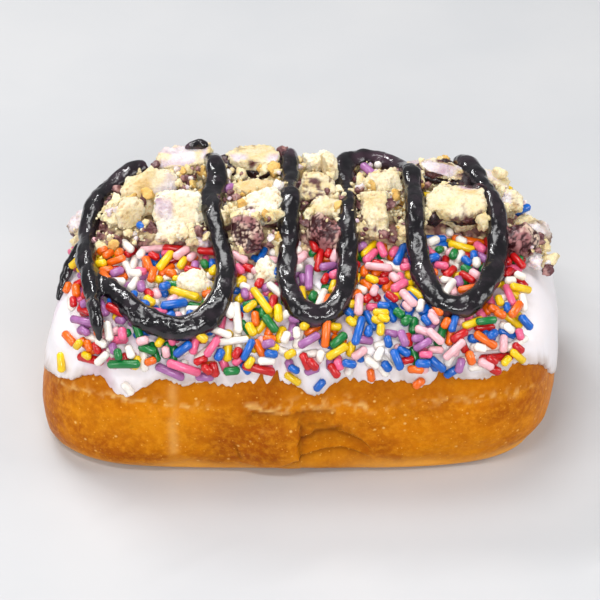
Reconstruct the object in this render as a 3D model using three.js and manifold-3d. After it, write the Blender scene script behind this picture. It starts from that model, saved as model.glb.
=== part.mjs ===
// A long john doughnut: a raised bar of fried dough whose upper half is dipped in white icing. Rainbow
// sprinkles cover the front, broken blueberry toaster pastry is heaped over the back, and a thick dark
// blueberry drizzle runs over everything in long loops.
// Millimetres, +Z up. The long side lies along X, the front faces -Y, and the origin is on the table.
import * as THREE from "three";
import Module from "manifold-3d";
import { mergeVertices } from "three/addons/utils/BufferGeometryUtils.js";

const wasm = await Module();
wasm.setup();

// The dough bar
const LENGTH = 122;
const DEPTH = 74;
const WIDEST_HEIGHT = 14;
const SHOULDER_HEIGHT = 40;
const CROWN = 3.5;
const FOOT_ROUND = 7;
const TOP_ROUND = 17;
const CORNER_POWER = 4.4;
const FOOT_POWER = 2.2;
const TOP_POWER = 2.7;
const BACK_SHIFT = 0.045; // the bar is cut a little askew: its back lies this share to the right
const LEFT_LEAN = 7; // how far the left end leans in at the top
const CENTRING = -0.7; // brings the leaning bar back over the origin

// The icing
const GAP = 0.3; // between touching pieces
const ICING_THICKNESS = 1.4;
const ICING_EDGE = 0.8;
const ICING_HEIGHT = 28; // where the dipped edge lies, on average
// Drips and notches of the icing's front edge: place along X, how far it runs down, half width
const FRONT_DRIPS = [
  [-51, 1.5, 1.8],
  [-38.5, 3.8, 4.5],
  [-27, 1, 3],
  [-8.3, -2.2, 1.2],
  [-4.6, -2.4, 1.5],
  [4.5, 3.8, 3],
  [28.5, 2.2, 4],
  [33.5, -2.6, 2.4],
  [50, -1.6, 2.5],
  [57, -2, 2],
];

// The heap of pastry crumbs on the back half
const HEAP_EDGE = 1.1;
const HEAP_RISE = 3.4;
// The heap's edges, from left to right: X and Y
const HEAP_FRONT = [
  [-50, 3],
  [-45, -5],
  [-30, -8],
  [-12, -13.5],
  [5, -9.5],
  [22, -10],
  [36, -1],
  [48, -7],
  [56, -8],
];
const HEAP_BACK = [
  [-50, 17],
  [-44, 25],
  [-30, 29],
  [-10, 31],
  [12, 31],
  [34, 29],
  [49, 24],
  [56, 13],
];
const HEAP_LEFT = HEAP_FRONT[0][0];
const HEAP_RIGHT = HEAP_FRONT.at(-1)[0];
const CRUMBS = 54;
const CRUMB_SMALLEST = 2.2;
const CRUMB_LARGEST = 5;

// Broken pieces of toaster pastry. at: X and Y on the heap; size: length, width and thickness;
// turn: degrees about X, Y and Z; raise: how far the middle stands above what is under it.
// A piece that is cut through shows its filling between two crusts.
const PASTRY_PIECES = [
  { name: "tall", at: [-27.5, 26.5], size: [14, 10, 8], turn: [6, -4, -6], raise: 4.6 },
  { name: "baked_side", at: [-34.5, 11], size: [15.5, 10.5, 5], turn: [52, 9, 4], raise: 2.6 },
  { name: "pale", at: [-27.4, -2.5], size: [11.5, 12, 6.6], turn: [52, -4, -3], raise: 2.4 },
  { name: "corner", at: [-39.4, 1.5], size: [5.8, 7, 3.8], turn: [58, 10, 12], raise: 1.6 },
  { name: "jam_left", at: [-44.2, 9], size: [5.6, 5.4, 4.6], turn: [20, 10, 40], raise: 1.2, filling: true },
  { name: "left_end", at: [-50.6, 12], size: [5, 8.5, 8.5], turn: [0, -28, 8], raise: 1.2 },
  { name: "roof", at: [-11, 22.5], size: [14.4, 10, 8], turn: [-4, 3, 2], raise: 3.2, layered: true },
  { name: "cream", at: [4, 24.5], size: [7.6, 7, 7.4], turn: [14, 8, 20], raise: 3.4 },
  { name: "sliver", at: [8, 18], size: [3, 5, 7.8], turn: [6, 4, 10], raise: 3 },
  { name: "golden", at: [-10.6, 8], size: [9, 6, 5], turn: [22, 12, -8], raise: 1.6 },
  { name: "crumbly", at: [-8.8, -0.6], size: [10.4, 7.6, 6.4], turn: [28, -10, 6], raise: 1.6 },
  { name: "jam_front", at: [-11.6, -9.2], size: [7.8, 8, 5.4], turn: [48, 4, -6], raise: 1.4, filling: true },
  { name: "small_pale", at: [-6.8, -16.8], size: [6, 5.4, 5], turn: [24, 16, 30], raise: 1.9 },
  { name: "cluster", at: [5, 7.6], size: [9, 8, 7.2], turn: [30, 6, -14], raise: 1.6 },
  { name: "slab", at: [6.4, 0.2], size: [6.4, 4.4, 3.4], turn: [24, -8, 12], raise: 2 },
  { name: "jam_lump", at: [6.2, -7], size: [7.2, 7, 6.8], turn: [10, 20, 0], raise: 1.4, filling: true },
  { name: "rough", at: [17.6, -2.6], size: [6.8, 11, 5.8], turn: [56, -6, -8], raise: 2.4 },
  { name: "behind_rough", at: [20, 11], size: [8.4, 7.4, 6.4], turn: [20, 10, 24], raise: 2 },
  { name: "far_right", at: [35.4, 16.8], size: [13, 9, 7], turn: [4, 2, -6], raise: 2.6, layered: true },
  { name: "big_right", at: [36.8, 2.8], size: [14.6, 10.5, 7.4], turn: [27, 3, -7], raise: 2.6, layered: true },
  { name: "right_shard", at: [50.4, 9.6], size: [5, 6, 8], turn: [20, 10, -10], raise: 1.4 },
  { name: "right_end", at: [55, 4.6], size: [9, 6.4, 5.6], turn: [8, 24, 8], raise: 1.6 },
  { name: "right_front", at: [51.6, -4.6], size: [9.4, 6, 5.6], turn: [26, 14, 12], raise: 1.2, filling: true },
  { name: "in_loop", at: [-24, -20.6], size: [7.4, 6, 5], turn: [14, 8, 18], raise: 1.9 },
  { name: "back_left", at: [-41.6, 24.4], size: [8.6, 7, 5.8], turn: [-14, -10, 30], raise: 1.6 },
  { name: "back_middle", at: [28.6, 27.6], size: [9.4, 6.6, 5.8], turn: [-28, 6, 8], raise: 1.6 },
  { name: "back_right", at: [47.4, 19.6], size: [7.4, 6.4, 5.4], turn: [-12, 14, -24], raise: 1.6 },
];
const FILLING_THICKNESS = 2;
const PATCH = 4.6; // the least length of a piece's patches
const PIECE_POWER = 6; // how square a piece is: 2 is an egg
const ROUGHNESS = 0.13; // how far a corner strays, as a share of the size

// The drizzle. Its loops cross the top from the back left to the back right: X and Y
const DRIZZLE_HALF_WIDTH = 2.9;
const DRIZZLE_HALF_HEIGHT = 2.2;
const DRIZZLE_OVER_PIECES = 0.9; // how far it stands clear of the large pieces
const DRIZZLE_POOLING = 0.2; // how much thicker the turns at the front are
const DRIZZLE_LOOPS = [
  [-36, 26],
  [-41, 21.5],
  [-46.5, 15],
  [-49, 5],
  [-49.2, -5],
  [-48, -13],
  [-43, -20.5],
  [-38, -27],
  [-31.5, -32.2],
  [-23.5, -33],
  [-18, -28.5],
  [-16, -18.5],
  [-18.5, -8],
  [-20.6, 3],
  [-18.8, 12],
  [-20.5, 23],
  [-20, 31],
  [-13, 34.3],
  [-5, 32.5],
  [-1.8, 25],
  [-1.8, 10],
  [-2, -6],
  [-2.4, -20],
  [-0.5, -28.6],
  [4, -31.3],
  [8.8, -29],
  [11.3, -22],
  [11.6, -8],
  [11.4, 8],
  [10.8, 20],
  [12.8, 25.6],
  [18, 28],
  [23.2, 25.4],
  [26.2, 18],
  [27.3, 5],
  [27.4, -8],
  [28.6, -19],
  [31.5, -26.6],
  [36, -28.8],
  [40.8, -26],
  [44.4, -17.5],
  [46.6, -7],
  [46, 2],
  [43.4, 12],
  [41, 19.5],
  [39, 26],
];
const DRIZZLE_TAIL = [
  [-48.2, -12],
  [-46, -20],
  [-44.4, -27],
  [-43.8, -30.8],
  [-43.8, -32],
];
const DRIZZLE_RUN = [
  [-50, -1],
  [-53.4, -3.4],
  [-55.6, -7.4],
  [-56.4, -10],
];

// The sprinkles
const SPRINKLES = 66;
const SPRINKLE_DIAMETER = 1.8;
const SPRINKLE_SHORTEST = 4;
const SPRINKLE_LONGEST = 8.4;

// How finely the round of the bar is divided
const ROUND_STEPS = 64;
const SIDE_COURSES = [1, 1.35, 1.7, 2];
const ICING_COURSES = [0, 0.1, 0.24, 0.4, 0.58, 0.78];

// A repeatable row of random numbers from 0 to 1
function seeded(seed) {
  let state = seed >>> 0;
  return () => {
    state = (state + 0x6d2b79f5) >>> 0;
    let mixed = Math.imul(state ^ (state >>> 15), state | 1);
    mixed ^= mixed + Math.imul(mixed ^ (mixed >>> 7), mixed | 61);
    return ((mixed ^ (mixed >>> 14)) >>> 0) / 4294967296;
  };
}

function between(random, low, high) {
  return low + (high - low) * random();
}

function smooth(low, high, value) {
  const share = Math.min(1, Math.max(0, (value - low) / (high - low)));
  return share * share * (3 - 2 * share);
}

function bell(value, middle, halfWidth) {
  return Math.exp(-(((value - middle) / halfWidth) ** 2));
}

// Inset from the widest outline and height along the side. course is 1 at the foot, 2 at the widest
// line, 3 at the shoulder and 4 in the middle of the top; below 1 it crosses the flat underside.
function profile(course) {
  if (course <= 1) return { inset: FOOT_ROUND, height: 0, spread: course };
  if (course <= 2) {
    const turn = ((course - 1) * Math.PI) / 2;
    const inset = FOOT_ROUND * (1 - Math.sin(turn) ** (2 / FOOT_POWER));
    return { inset, height: WIDEST_HEIGHT * (1 - Math.cos(turn) ** (2 / FOOT_POWER)), spread: 1 };
  }
  if (course <= 3) {
    const turn = ((course - 2) * Math.PI) / 2;
    const inset = TOP_ROUND * (1 - Math.cos(turn) ** (2 / TOP_POWER));
    const rise = (SHOULDER_HEIGHT - WIDEST_HEIGHT) * Math.sin(turn) ** (2 / TOP_POWER);
    return { inset, height: WIDEST_HEIGHT + rise, spread: 1 };
  }
  const spread = 4 - course;
  return { inset: TOP_ROUND, height: SHOULDER_HEIGHT + CROWN * (1 - spread ** 2), spread };
}

function courseAtHeight(height) {
  const share = (height - WIDEST_HEIGHT) / (SHOULDER_HEIGHT - WIDEST_HEIGHT);
  return 2 + Math.asin(Math.min(1, Math.max(0, share)) ** (TOP_POWER / 2)) / (Math.PI / 2);
}

// A point of the plain bar. angle goes round from +X.
function plainPoint(angle, course) {
  const { inset, height, spread } = profile(course);
  const across = Math.abs(Math.cos(angle) / (LENGTH / 2 - inset)) ** CORNER_POWER;
  const along = Math.abs(Math.sin(angle) / (DEPTH / 2 - inset)) ** CORNER_POWER;
  const radius = spread * (across + along) ** (-1 / CORNER_POWER);
  const x = radius * Math.cos(angle);
  const y = radius * Math.sin(angle);
  const lean = LEFT_LEAN * (height / (SHOULDER_HEIGHT + CROWN)) * (0.5 - x / LENGTH);
  return new THREE.Vector3(x + lean + BACK_SHIFT * y, y, height);
}

function plainNormal(angle, course) {
  const step = 0.01;
  const held = Math.min(Math.max(course, 1.02), 3.98);
  const round = plainPoint(angle + step, held).sub(plainPoint(angle - step, held));
  const rise = plainPoint(angle, held + step).sub(plainPoint(angle, held - step));
  return round.cross(rise).normalize();
}

// How far the dough's own surface stands out: soft unevenness, and the fold in the middle of the front
function doughRelief(point) {
  const sides = smooth(0, 4, point.z) * (1 - smooth(24, 34, point.z));
  const uneven = 0.5 * Math.sin(point.x / 9 + point.z / 7) + 0.35 * Math.sin(point.y / 6 - point.x / 15);
  const front = smooth(10, 30, -point.y);
  const dent = 1.5 * bell(point.x, 11, 8) * bell(point.z, 9, 6);
  const flap = 0.7 * bell(point.x, -4, 6) * bell(point.z, 10, 8);
  return sides * (uneven + front * (flap - dent));
}

function doughPoint(angle, course, lift) {
  const point = plainPoint(angle, course);
  const out = lift + doughRelief(point);
  return point.addScaledVector(plainNormal(angle, course), out);
}

// Angles at equal steps along the bar's outline
function outlineAngles(count) {
  const fine = 1440;
  const lengths = [0];
  for (let i = 1; i <= fine; i++) {
    const here = plainPoint((i / fine) * 2 * Math.PI, 2);
    const before = plainPoint(((i - 1) / fine) * 2 * Math.PI, 2);
    lengths.push(lengths[i - 1] + here.distanceTo(before));
  }
  const angles = [];
  let i = 0;
  for (let k = 0; k < count; k++) {
    while (lengths[i] < (lengths[fine] * k) / count) i++;
    angles.push((i / fine) * 2 * Math.PI);
  }
  return angles;
}
const ANGLES = outlineAngles(ROUND_STEPS);

function geometryOf(points, triangles) {
  const geometry = new THREE.BufferGeometry();
  const numbers = points.flatMap((p) => [p.x, p.y, p.z]);
  geometry.setAttribute("position", new THREE.Float32BufferAttribute(numbers, 3));
  geometry.setIndex(triangles);
  return geometry;
}

// A closed skin from rings of equal length, with one point at each end. Each four-sided patch is
// split along its shorter diagonal.
function skin(first, rings, last) {
  const count = rings[0].length;
  const points = [first, ...rings.flat(), last];
  const triangles = [];
  const at = (ring, i) => 1 + ring * count + (i % count);
  for (let i = 0; i < count; i++) {
    triangles.push(0, at(0, i + 1), at(0, i));
    triangles.push(points.length - 1, at(rings.length - 1, i), at(rings.length - 1, i + 1));
    for (let ring = 0; ring + 1 < rings.length; ring++) {
      const [a, b, c, d] = [at(ring, i), at(ring, i + 1), at(ring + 1, i + 1), at(ring + 1, i)];
      if (points[a].distanceTo(points[c]) < points[b].distanceTo(points[d])) triangles.push(a, b, c, a, c, d);
      else triangles.push(a, b, d, b, c, d);
    }
  }
  return geometryOf(points, triangles);
}

// Height of the icing's dipped edge, which is ragged
function icingEdge(angle) {
  const at = plainPoint(angle, 2.25);
  let height = ICING_HEIGHT + 0.7 * Math.sin(5 * angle + 1) + 0.6 * Math.sin(13 * angle) + 0.5 * Math.sin(29 * angle);
  if (at.y < -DEPTH / 4) for (const [x, drop, halfWidth] of FRONT_DRIPS) height -= drop * bell(at.x, x, halfWidth);
  return height;
}

// A row of the icing's surface. share is 0 at the dipped edge and 1 in the middle of the top.
function icingRing(share, lift) {
  return ANGLES.map((angle) => {
    const edge = courseAtHeight(icingEdge(angle));
    return doughPoint(angle, edge + (4 - edge) * share, lift);
  });
}

// The dough shares the icing's rows above the dipped edge, so that the two surfaces run side by side
function doughGeometry() {
  const sides = SIDE_COURSES.map((course) => ANGLES.map((angle) => doughPoint(angle, course, 0)));
  const covered = ICING_COURSES.map((share) => icingRing(share, 0));
  return skin(new THREE.Vector3(0, 0, 0), [...sides, ...covered], doughPoint(0, 4, 0));
}

function icingLift(share) {
  return GAP + ICING_EDGE + (ICING_THICKNESS - ICING_EDGE) * smooth(0, 0.12, share);
}

function icingGeometry() {
  const inner = ICING_COURSES.toReversed().map((share) => icingRing(share, GAP));
  const outer = ICING_COURSES.map((share) => icingRing(share, icingLift(share)));
  return skin(doughPoint(0, 4, GAP), [...inner, ...outer], doughPoint(0, 4, icingLift(1)));
}

// The iced bar from its widest line up, as one full body that cuts what lies on it. lift is how far
// it stands out from the dough under the icing.
function icedBody(lift) {
  const sides = ICING_COURSES.map((share) => icingRing(share, lift));
  const foot = ANGLES.map((angle) => doughPoint(angle, 1.6, GAP));
  const lower = ANGLES.map((angle) => doughPoint(angle, 2, GAP));
  return skin(new THREE.Vector3(0, 0, foot[0].z), [foot, lower, ...sides], doughPoint(0, 4, lift));
}

function solidOf(geometry) {
  const bare = geometry.clone();
  bare.deleteAttribute("normal");
  bare.deleteAttribute("uv");
  const merged = mergeVertices(bare, 1e-3);
  const vertProperties = new Float32Array(merged.attributes.position.array);
  const triVerts = new Uint32Array(merged.index.array);
  return new wasm.Manifold(new wasm.Mesh({ numProp: 3, vertProperties, triVerts }));
}

function meshedGeometry(solid) {
  const mesh = solid.getMesh();
  const geometry = new THREE.BufferGeometry();
  geometry.setAttribute("position", new THREE.BufferAttribute(mesh.vertProperties.slice(), 3));
  geometry.setIndex(new THREE.BufferAttribute(mesh.triVerts.slice(), 1));
  return geometry;
}

function largestBody(solid) {
  return solid.decompose().sort((a, b) => b.volume() - a.volume())[0];
}

// The largest body of a solid, as a geometry. Loose scraps left by a cut are dropped and small
// hollows are filled, once more after the corners are merged.
function geometryFrom(solid) {
  return meshedGeometry(largestBody(solidOf(meshedGeometry(largestBody(solid)))));
}

function joined(solids) {
  return wasm.Manifold.union(solids);
}

// What lies under a place, seen from straight above
function groundUnder(meshes, x, y) {
  const ray = new THREE.Raycaster(new THREE.Vector3(x, y, 200), new THREE.Vector3(0, 0, -1));
  const hit = ray.intersectObjects(meshes)[0];
  return hit ? { point: hit.point, normal: hit.face.normal.clone() } : null;
}

// A smooth line through places given from left to right, as Y at a place along X
function lineThrough(places) {
  const curve = new THREE.SplineCurve(places.map(([x, y]) => new THREE.Vector2(x, y)));
  return (x) => {
    let low = 0;
    let high = 1;
    for (let i = 0; i < 24; i++) {
      const middle = (low + high) / 2;
      if (curve.getPoint(middle).x < x) low = middle;
      else high = middle;
    }
    return curve.getPoint(low).y;
  };
}
const heapFront = lineThrough(HEAP_FRONT);
const heapBack = lineThrough(HEAP_BACK);

function nearHeap(x, y, reach) {
  const held = Math.min(HEAP_RIGHT, Math.max(HEAP_LEFT, x));
  return Math.abs(x - held) < reach && y > heapFront(held) - reach && y < heapBack(held) + reach;
}

function heapThickness(x, y) {
  const front = smooth(0, 4.5, y - heapFront(x));
  const back = smooth(0, 8, heapBack(x) - y);
  const ends = smooth(0, 7, x - HEAP_LEFT) * smooth(0, 7, HEAP_RIGHT - x);
  const lumps = 0.8 * Math.sin(x / 2.9 + 1) * Math.sin(y / 2.6) + 0.4 * Math.sin(x / 1.7 - y / 2.1);
  return HEAP_EDGE + front * back * ends * (HEAP_RISE + lumps);
}

// The heap's own mass, under the loose pieces: a grid over its outline
function heapCoreGeometry(ground) {
  const columns = 22;
  const rows = 7;
  const lower = [];
  const upper = [];
  for (let i = 0; i <= columns; i++) {
    const x = HEAP_LEFT + ((HEAP_RIGHT - HEAP_LEFT) * i) / columns;
    for (let j = 0; j <= rows; j++) {
      const y = heapFront(x) + ((heapBack(x) - heapFront(x)) * j) / rows;
      const { point } = groundUnder(ground, x, y);
      lower.push(point.clone().setZ(point.z + 2 * GAP));
      upper.push(point.clone().setZ(point.z + 2 * GAP + heapThickness(x, y)));
    }
  }
  const points = [...lower, ...upper];
  const top = (i, j) => lower.length + i * (rows + 1) + j;
  const under = (i, j) => i * (rows + 1) + j;
  const triangles = [];
  const face = (a, b, c, d) => triangles.push(a, b, c, a, c, d);
  for (let i = 0; i < columns; i++)
    for (let j = 0; j < rows; j++) {
      face(top(i, j), top(i + 1, j), top(i + 1, j + 1), top(i, j + 1));
      face(under(i, j), under(i, j + 1), under(i + 1, j + 1), under(i + 1, j));
    }
  for (let i = 0; i < columns; i++) {
    face(under(i, 0), under(i + 1, 0), top(i + 1, 0), top(i, 0));
    face(under(i + 1, rows), under(i, rows), top(i, rows), top(i + 1, rows));
  }
  for (let j = 0; j < rows; j++) {
    face(under(0, j + 1), under(0, j), top(0, j), top(0, j + 1));
    face(under(columns, j), under(columns, j + 1), top(columns, j + 1), top(columns, j));
  }
  return geometryOf(points, triangles);
}

// A tall block over the heap's outline, which parts what belongs to the heap from what lies on the
// icing
function heapBlock(grow) {
  const steps = 40;
  const left = HEAP_LEFT - grow;
  const right = HEAP_RIGHT + grow;
  const xs = Array.from({ length: steps + 1 }, (_, i) => left + ((right - left) * i) / steps);
  const held = (x) => Math.min(HEAP_RIGHT, Math.max(HEAP_LEFT, x));
  const outline = [
    ...xs.map((x) => new THREE.Vector2(x, heapFront(held(x)) - grow)),
    ...xs.toReversed().map((x) => new THREE.Vector2(x, heapBack(held(x)) + grow)),
  ];
  const block = new THREE.ExtrudeGeometry(new THREE.Shape(outline), { depth: 100, bevelEnabled: false, steps: 1 });
  return solidOf(block);
}

// A broken lump about the origin: a rounded block with strayed corners and some sides knocked flat
function brokenLump(size, faces, seed) {
  const random = seeded(seed);
  const half = new THREE.Vector3(...size).multiplyScalar(0.5);
  const breaks = Array.from({ length: 5 }, () => {
    const away = new THREE.Vector3(between(random, -1, 1), between(random, -1, 1), between(random, -0.4, 0.6));
    away.normalize();
    return { away, reach: between(random, 0.84, 1.02) * away.clone().multiply(half).length() };
  });
  const geometry = new THREE.BoxGeometry(2, 2, 2, ...faces);
  geometry.deleteAttribute("normal");
  geometry.deleteAttribute("uv");
  const block = mergeVertices(geometry);
  const place = block.attributes.position;
  const point = new THREE.Vector3();
  const power = (value) => Math.abs(value) ** PIECE_POWER;
  const stray = () => between(random, -ROUGHNESS, ROUGHNESS);
  for (let i = 0; i < place.count; i++) {
    point.fromBufferAttribute(place, i);
    point.multiplyScalar((power(point.x) + power(point.y) + power(point.z)) ** (-1 / PIECE_POWER));
    point.add(new THREE.Vector3(stray(), stray(), stray())).multiply(half);
    for (const { away, reach } of breaks) {
      const over = point.dot(away) - reach;
      if (over > 0) point.addScaledVector(away, -over);
    }
    place.setXYZ(i, point.x, point.y, point.z);
  }
  return block;
}

function placement(position, [aboutX, aboutY, aboutZ]) {
  const turn = new THREE.Euler(...[aboutX, aboutY, aboutZ].map(THREE.MathUtils.degToRad), "ZYX");
  return new THREE.Matrix4().compose(position, new THREE.Quaternion().setFromEuler(turn), new THREE.Vector3(1, 1, 1));
}

function grown(size, share) {
  return size.map((length) => length * (1 + share) + 2.6 * GAP);
}

function patches(size) {
  return size.map((length) => Math.max(2, Math.min(3, Math.floor(length / PATCH))));
}

// The part of a lump between two heights of its own thickness
function layer(lump, low, high) {
  const slab = new THREE.BoxGeometry(60, 60, high - low).translate(0, 0, (low + high) / 2);
  return geometryFrom(solidOf(lump).intersect(solidOf(slab)));
}

// A piece of pastry as its layers, each a geometry in the piece's own place
function pastryLayers(piece, seed, matrix) {
  const faces = patches(piece.size);
  const lump = brokenLump(piece.size, faces, seed);
  if (!piece.layered) return [{ layer: "", geometry: lump.applyMatrix4(matrix) }];
  const half = FILLING_THICKNESS / 2;
  const far = piece.size[2];
  const inset = brokenLump([piece.size[0] - 0.8, piece.size[1] - 0.8, piece.size[2]], faces, seed);
  return [
    { layer: "_base", geometry: layer(lump, -far, -half).applyMatrix4(matrix) },
    { layer: "_filling", geometry: layer(inset, GAP - half, half - GAP).applyMatrix4(matrix) },
    { layer: "_top", geometry: layer(lump, half, far).applyMatrix4(matrix) },
  ];
}

// The drizzle's way: it follows the iced bar, and bridges the hollows between what lies on it. Gives
// places along it with the direction that faces out.
function drapedPath(outline, bar, heapCore, pieces, spacing) {
  const flat = new THREE.CatmullRomCurve3(outline.map(([x, y]) => new THREE.Vector3(x, y, 0)), false, "centripetal");
  const count = Math.round(flat.getLength() / spacing);
  const places = flat.getSpacedPoints(count);
  const below = places.map(({ x, y }) => groundUnder(bar, x, y));
  const extra = places.map(({ x, y }, i) => {
    const onCore = groundUnder([heapCore], x, y)?.point.z ?? 0;
    const onPiece = (groundUnder(pieces, x, y)?.point.z ?? 0) + DRIZZLE_OVER_PIECES;
    return Math.max(0, onCore - below[i].point.z, onPiece - below[i].point.z);
  });
  const around = (list, i) => list.slice(Math.max(0, i - 1), i + 2);
  const bridged = extra.map((_, i) => Math.max(...around(extra, i)));
  return below.map(({ point }, i) => {
    const out = new THREE.Vector3();
    for (const { normal } of around(below, i)) out.add(normal);
    const lifts = [...around(bridged, i), extra[i]];
    point.z += lifts.reduce((sum, lift) => sum + lift, 0) / lifts.length;
    return { place: point, out: out.normalize() };
  });
}

// A thick thread of drizzle along a path, swelling and thinning, with round ends
function drizzleGeometry(path, halfWidth, halfHeight) {
  const sides = 6;
  const last = path.length - 1;
  const rings = path.map(({ place, out }, i) => {
    const along = path[Math.min(last, i + 1)].place.clone().sub(path[Math.max(0, i - 1)].place).normalize();
    const across = along.clone().cross(out).normalize();
    const up = across.clone().cross(along).normalize();
    const uneven = 1 + 0.1 * Math.sin(i * 0.9) + 0.07 * Math.sin(i * 2.3);
    const pooled = 1 + DRIZZLE_POOLING * smooth(22, 31, -place.y);
    const swell = uneven * pooled * (i === 0 || i === last ? 0.55 : 1);
    const middle = place.clone().addScaledVector(up, 0.35 * halfHeight);
    return Array.from({ length: sides }, (_, k) => {
      const turn = ((k + 0.5) / sides) * 2 * Math.PI;
      const flatter = Math.sin(turn) < 0 ? 0.6 : 1;
      return middle
        .clone()
        .addScaledVector(across, Math.cos(turn) * halfWidth * swell)
        .addScaledVector(up, Math.sin(turn) * halfHeight * swell * flatter);
    });
  });
  const end = (i, next) => {
    const beyond = path[i].place.clone().sub(path[next].place).normalize();
    return path[i].place.clone().addScaledVector(beyond, 0.5 * halfWidth).addScaledVector(path[i].out, 0.35 * halfHeight);
  };
  return skin(end(0, 1), rings.map((ring) => ring.reverse()), end(last, last - 1));
}

// A short rod with blunt round ends along X
function sprinkleGeometry(length) {
  const sides = 5;
  const radius = SPRINKLE_DIAMETER / 2;
  const ring = (x) =>
    Array.from({ length: sides }, (_, k) => {
      const turn = (k / sides) * 2 * Math.PI;
      return new THREE.Vector3(x, Math.cos(turn) * radius, Math.sin(turn) * radius);
    });
  const straight = length / 2 - 0.6 * radius;
  const tip = new THREE.Vector3(length / 2, 0, 0);
  return skin(tip.clone().negate(), [ring(-straight), ring(straight)], tip);
}

// How thickly the sprinkles lie at a place on the icing, from 0 to 1
function sprinkleDensity(point) {
  const rightEnd = 1 - 0.85 * smooth(50, 55, point.x);
  const leftEnd = 1 - 0.7 * smooth(49, 55, -point.x);
  const back = 1 - 0.5 * smooth(20, 34, point.y);
  const low = 0.45 + 0.55 * smooth(27, 34, point.z);
  return rightEnd * leftEnd * back * low;
}

// Sprinkles strewn over the icing, each lying in its surface, apart from the others and the drizzle
function sprinkleGeometries(drizzlePlaces) {
  const random = seeded(4);
  const strewn = [];
  const occupied = [];
  for (let tries = 0; strewn.length < SPRINKLES && tries < 30000; tries++) {
    const angle = ANGLES[Math.floor(random() * ROUND_STEPS)] + between(random, -0.03, 0.03);
    const edge = courseAtHeight(icingEdge(angle));
    const course = between(random, edge + 0.06, 3.9);
    const place = doughPoint(angle, course, icingLift(1) + 0.2 * SPRINKLE_DIAMETER);
    const spin = new THREE.Quaternion().setFromAxisAngle(new THREE.Vector3(0, 0, 1), between(random, 0, Math.PI));
    const upright = new THREE.Vector3(0, 0, 1);
    const lie = new THREE.Quaternion().setFromUnitVectors(upright, plainNormal(angle, course)).multiply(spin);
    const length = between(random, SPRINKLE_SHORTEST, SPRINKLE_LONGEST);
    const matrix = new THREE.Matrix4().compose(place, lie, new THREE.Vector3(1, 1, 1));
    const along = [-0.45, 0, 0.45].map((share) => new THREE.Vector3(share * length, 0, 0).applyMatrix4(matrix));
    const near = (others, reach) => along.some((here) => others.some((other) => other.distanceTo(here) < reach));
    const chance = (course > 3 ? 4 - course : 1) * sprinkleDensity(place);
    if (random() > chance || along.some(({ x, y }) => nearHeap(x, y, 1.8))) continue;
    if (near(occupied, 1.25 * SPRINKLE_DIAMETER) || near(drizzlePlaces, DRIZZLE_HALF_WIDTH + 1)) continue;
    occupied.push(...along);
    strewn.push(sprinkleGeometry(length).applyMatrix4(matrix));
  }
  return strewn;
}

// Small crumbs strewn over the heap, largest first, clear of the large pieces
function crumbGeometries(ground, pieces) {
  const random = seeded(11);
  const strewn = [];
  for (let tries = 0; strewn.length < CRUMBS && tries < 5000; tries++) {
    const x = between(random, HEAP_LEFT + 2, HEAP_RIGHT - 2);
    const y = between(random, heapFront(x) + 1.6, heapBack(x) - 1.6);
    const covered = (piece) => Math.hypot(piece.at[0] - x, piece.at[1] - y) < 0.42 * piece.size[0];
    if (pieces.some(covered)) continue;
    const share = strewn.length / CRUMBS;
    const size = CRUMB_LARGEST + (CRUMB_SMALLEST - CRUMB_LARGEST) * share;
    const { point } = groundUnder(ground, x, y);
    const shape = [size, size * between(random, 0.7, 1), size * between(random, 0.6, 0.9)];
    const turn = [between(random, -60, 60), between(random, -60, 60), between(random, 0, 180)];
    point.z += 0.2 * size;
    strewn.push(brokenLump(shape, [1, 1, 1], 300 + strewn.length).applyMatrix4(placement(point, turn)));
  }
  return strewn;
}

const COLOURS = {
  dough: { color: 0xc98a26, roughness: 0.55, metalness: 0 },
  icing: { color: 0xf4f1ee, roughness: 0.35, metalness: 0 },
  crumbs: { color: 0xd9c48c, roughness: 0.9, metalness: 0 },
  crust: { color: 0xe9dba6, roughness: 0.85, metalness: 0 },
  filling: { color: 0x4a2230, roughness: 0.5, metalness: 0 },
};

function namedMesh(name, geometry, look) {
  geometry.computeVertexNormals();
  const mesh = new THREE.Mesh(geometry, new THREE.MeshStandardMaterial(COLOURS[look]));
  mesh.name = name;
  return mesh;
}

// The dough and the icing over it
const doughnut = new THREE.Group();
doughnut.add(namedMesh("dough", doughGeometry(), "dough"));
const icingShell = icingGeometry();
const icingMesh = new THREE.Mesh(icingShell);
const heapCore = heapCoreGeometry([icingMesh]);
const coreMesh = new THREE.Mesh(heapCore);
const overIcing = solidOf(icedBody(icingLift(1) + GAP));

// The large pieces, each kept clear of the icing and of the pieces before it
const taken = [overIcing];
const sockets = [];
const pieceMeshes = [];
PASTRY_PIECES.forEach((piece, i) => {
  const seed = 40 + i;
  const { point } = groundUnder([icingMesh, coreMesh], ...piece.at);
  point.z += piece.raise;
  const matrix = placement(point, piece.turn);
  for (const { layer: name, geometry } of pastryLayers(piece, seed, matrix)) {
    let solid = solidOf(geometry);
    for (const other of taken) solid = solid.subtract(other);
    const look = name === "_filling" || piece.filling ? "filling" : "crust";
    pieceMeshes.push(namedMesh("pastry_" + piece.name + name, geometryFrom(solid), look));
  }
  const around = brokenLump(grown(piece.size, 0), patches(piece.size), seed);
  taken.push(solidOf(around.applyMatrix4(matrix)));
  const socket = new THREE.BoxGeometry(...grown(piece.size, 0.8 * ROUGHNESS));
  sockets.push(solidOf(socket.applyMatrix4(matrix)));
});
doughnut.add(...pieceMeshes);

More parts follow.
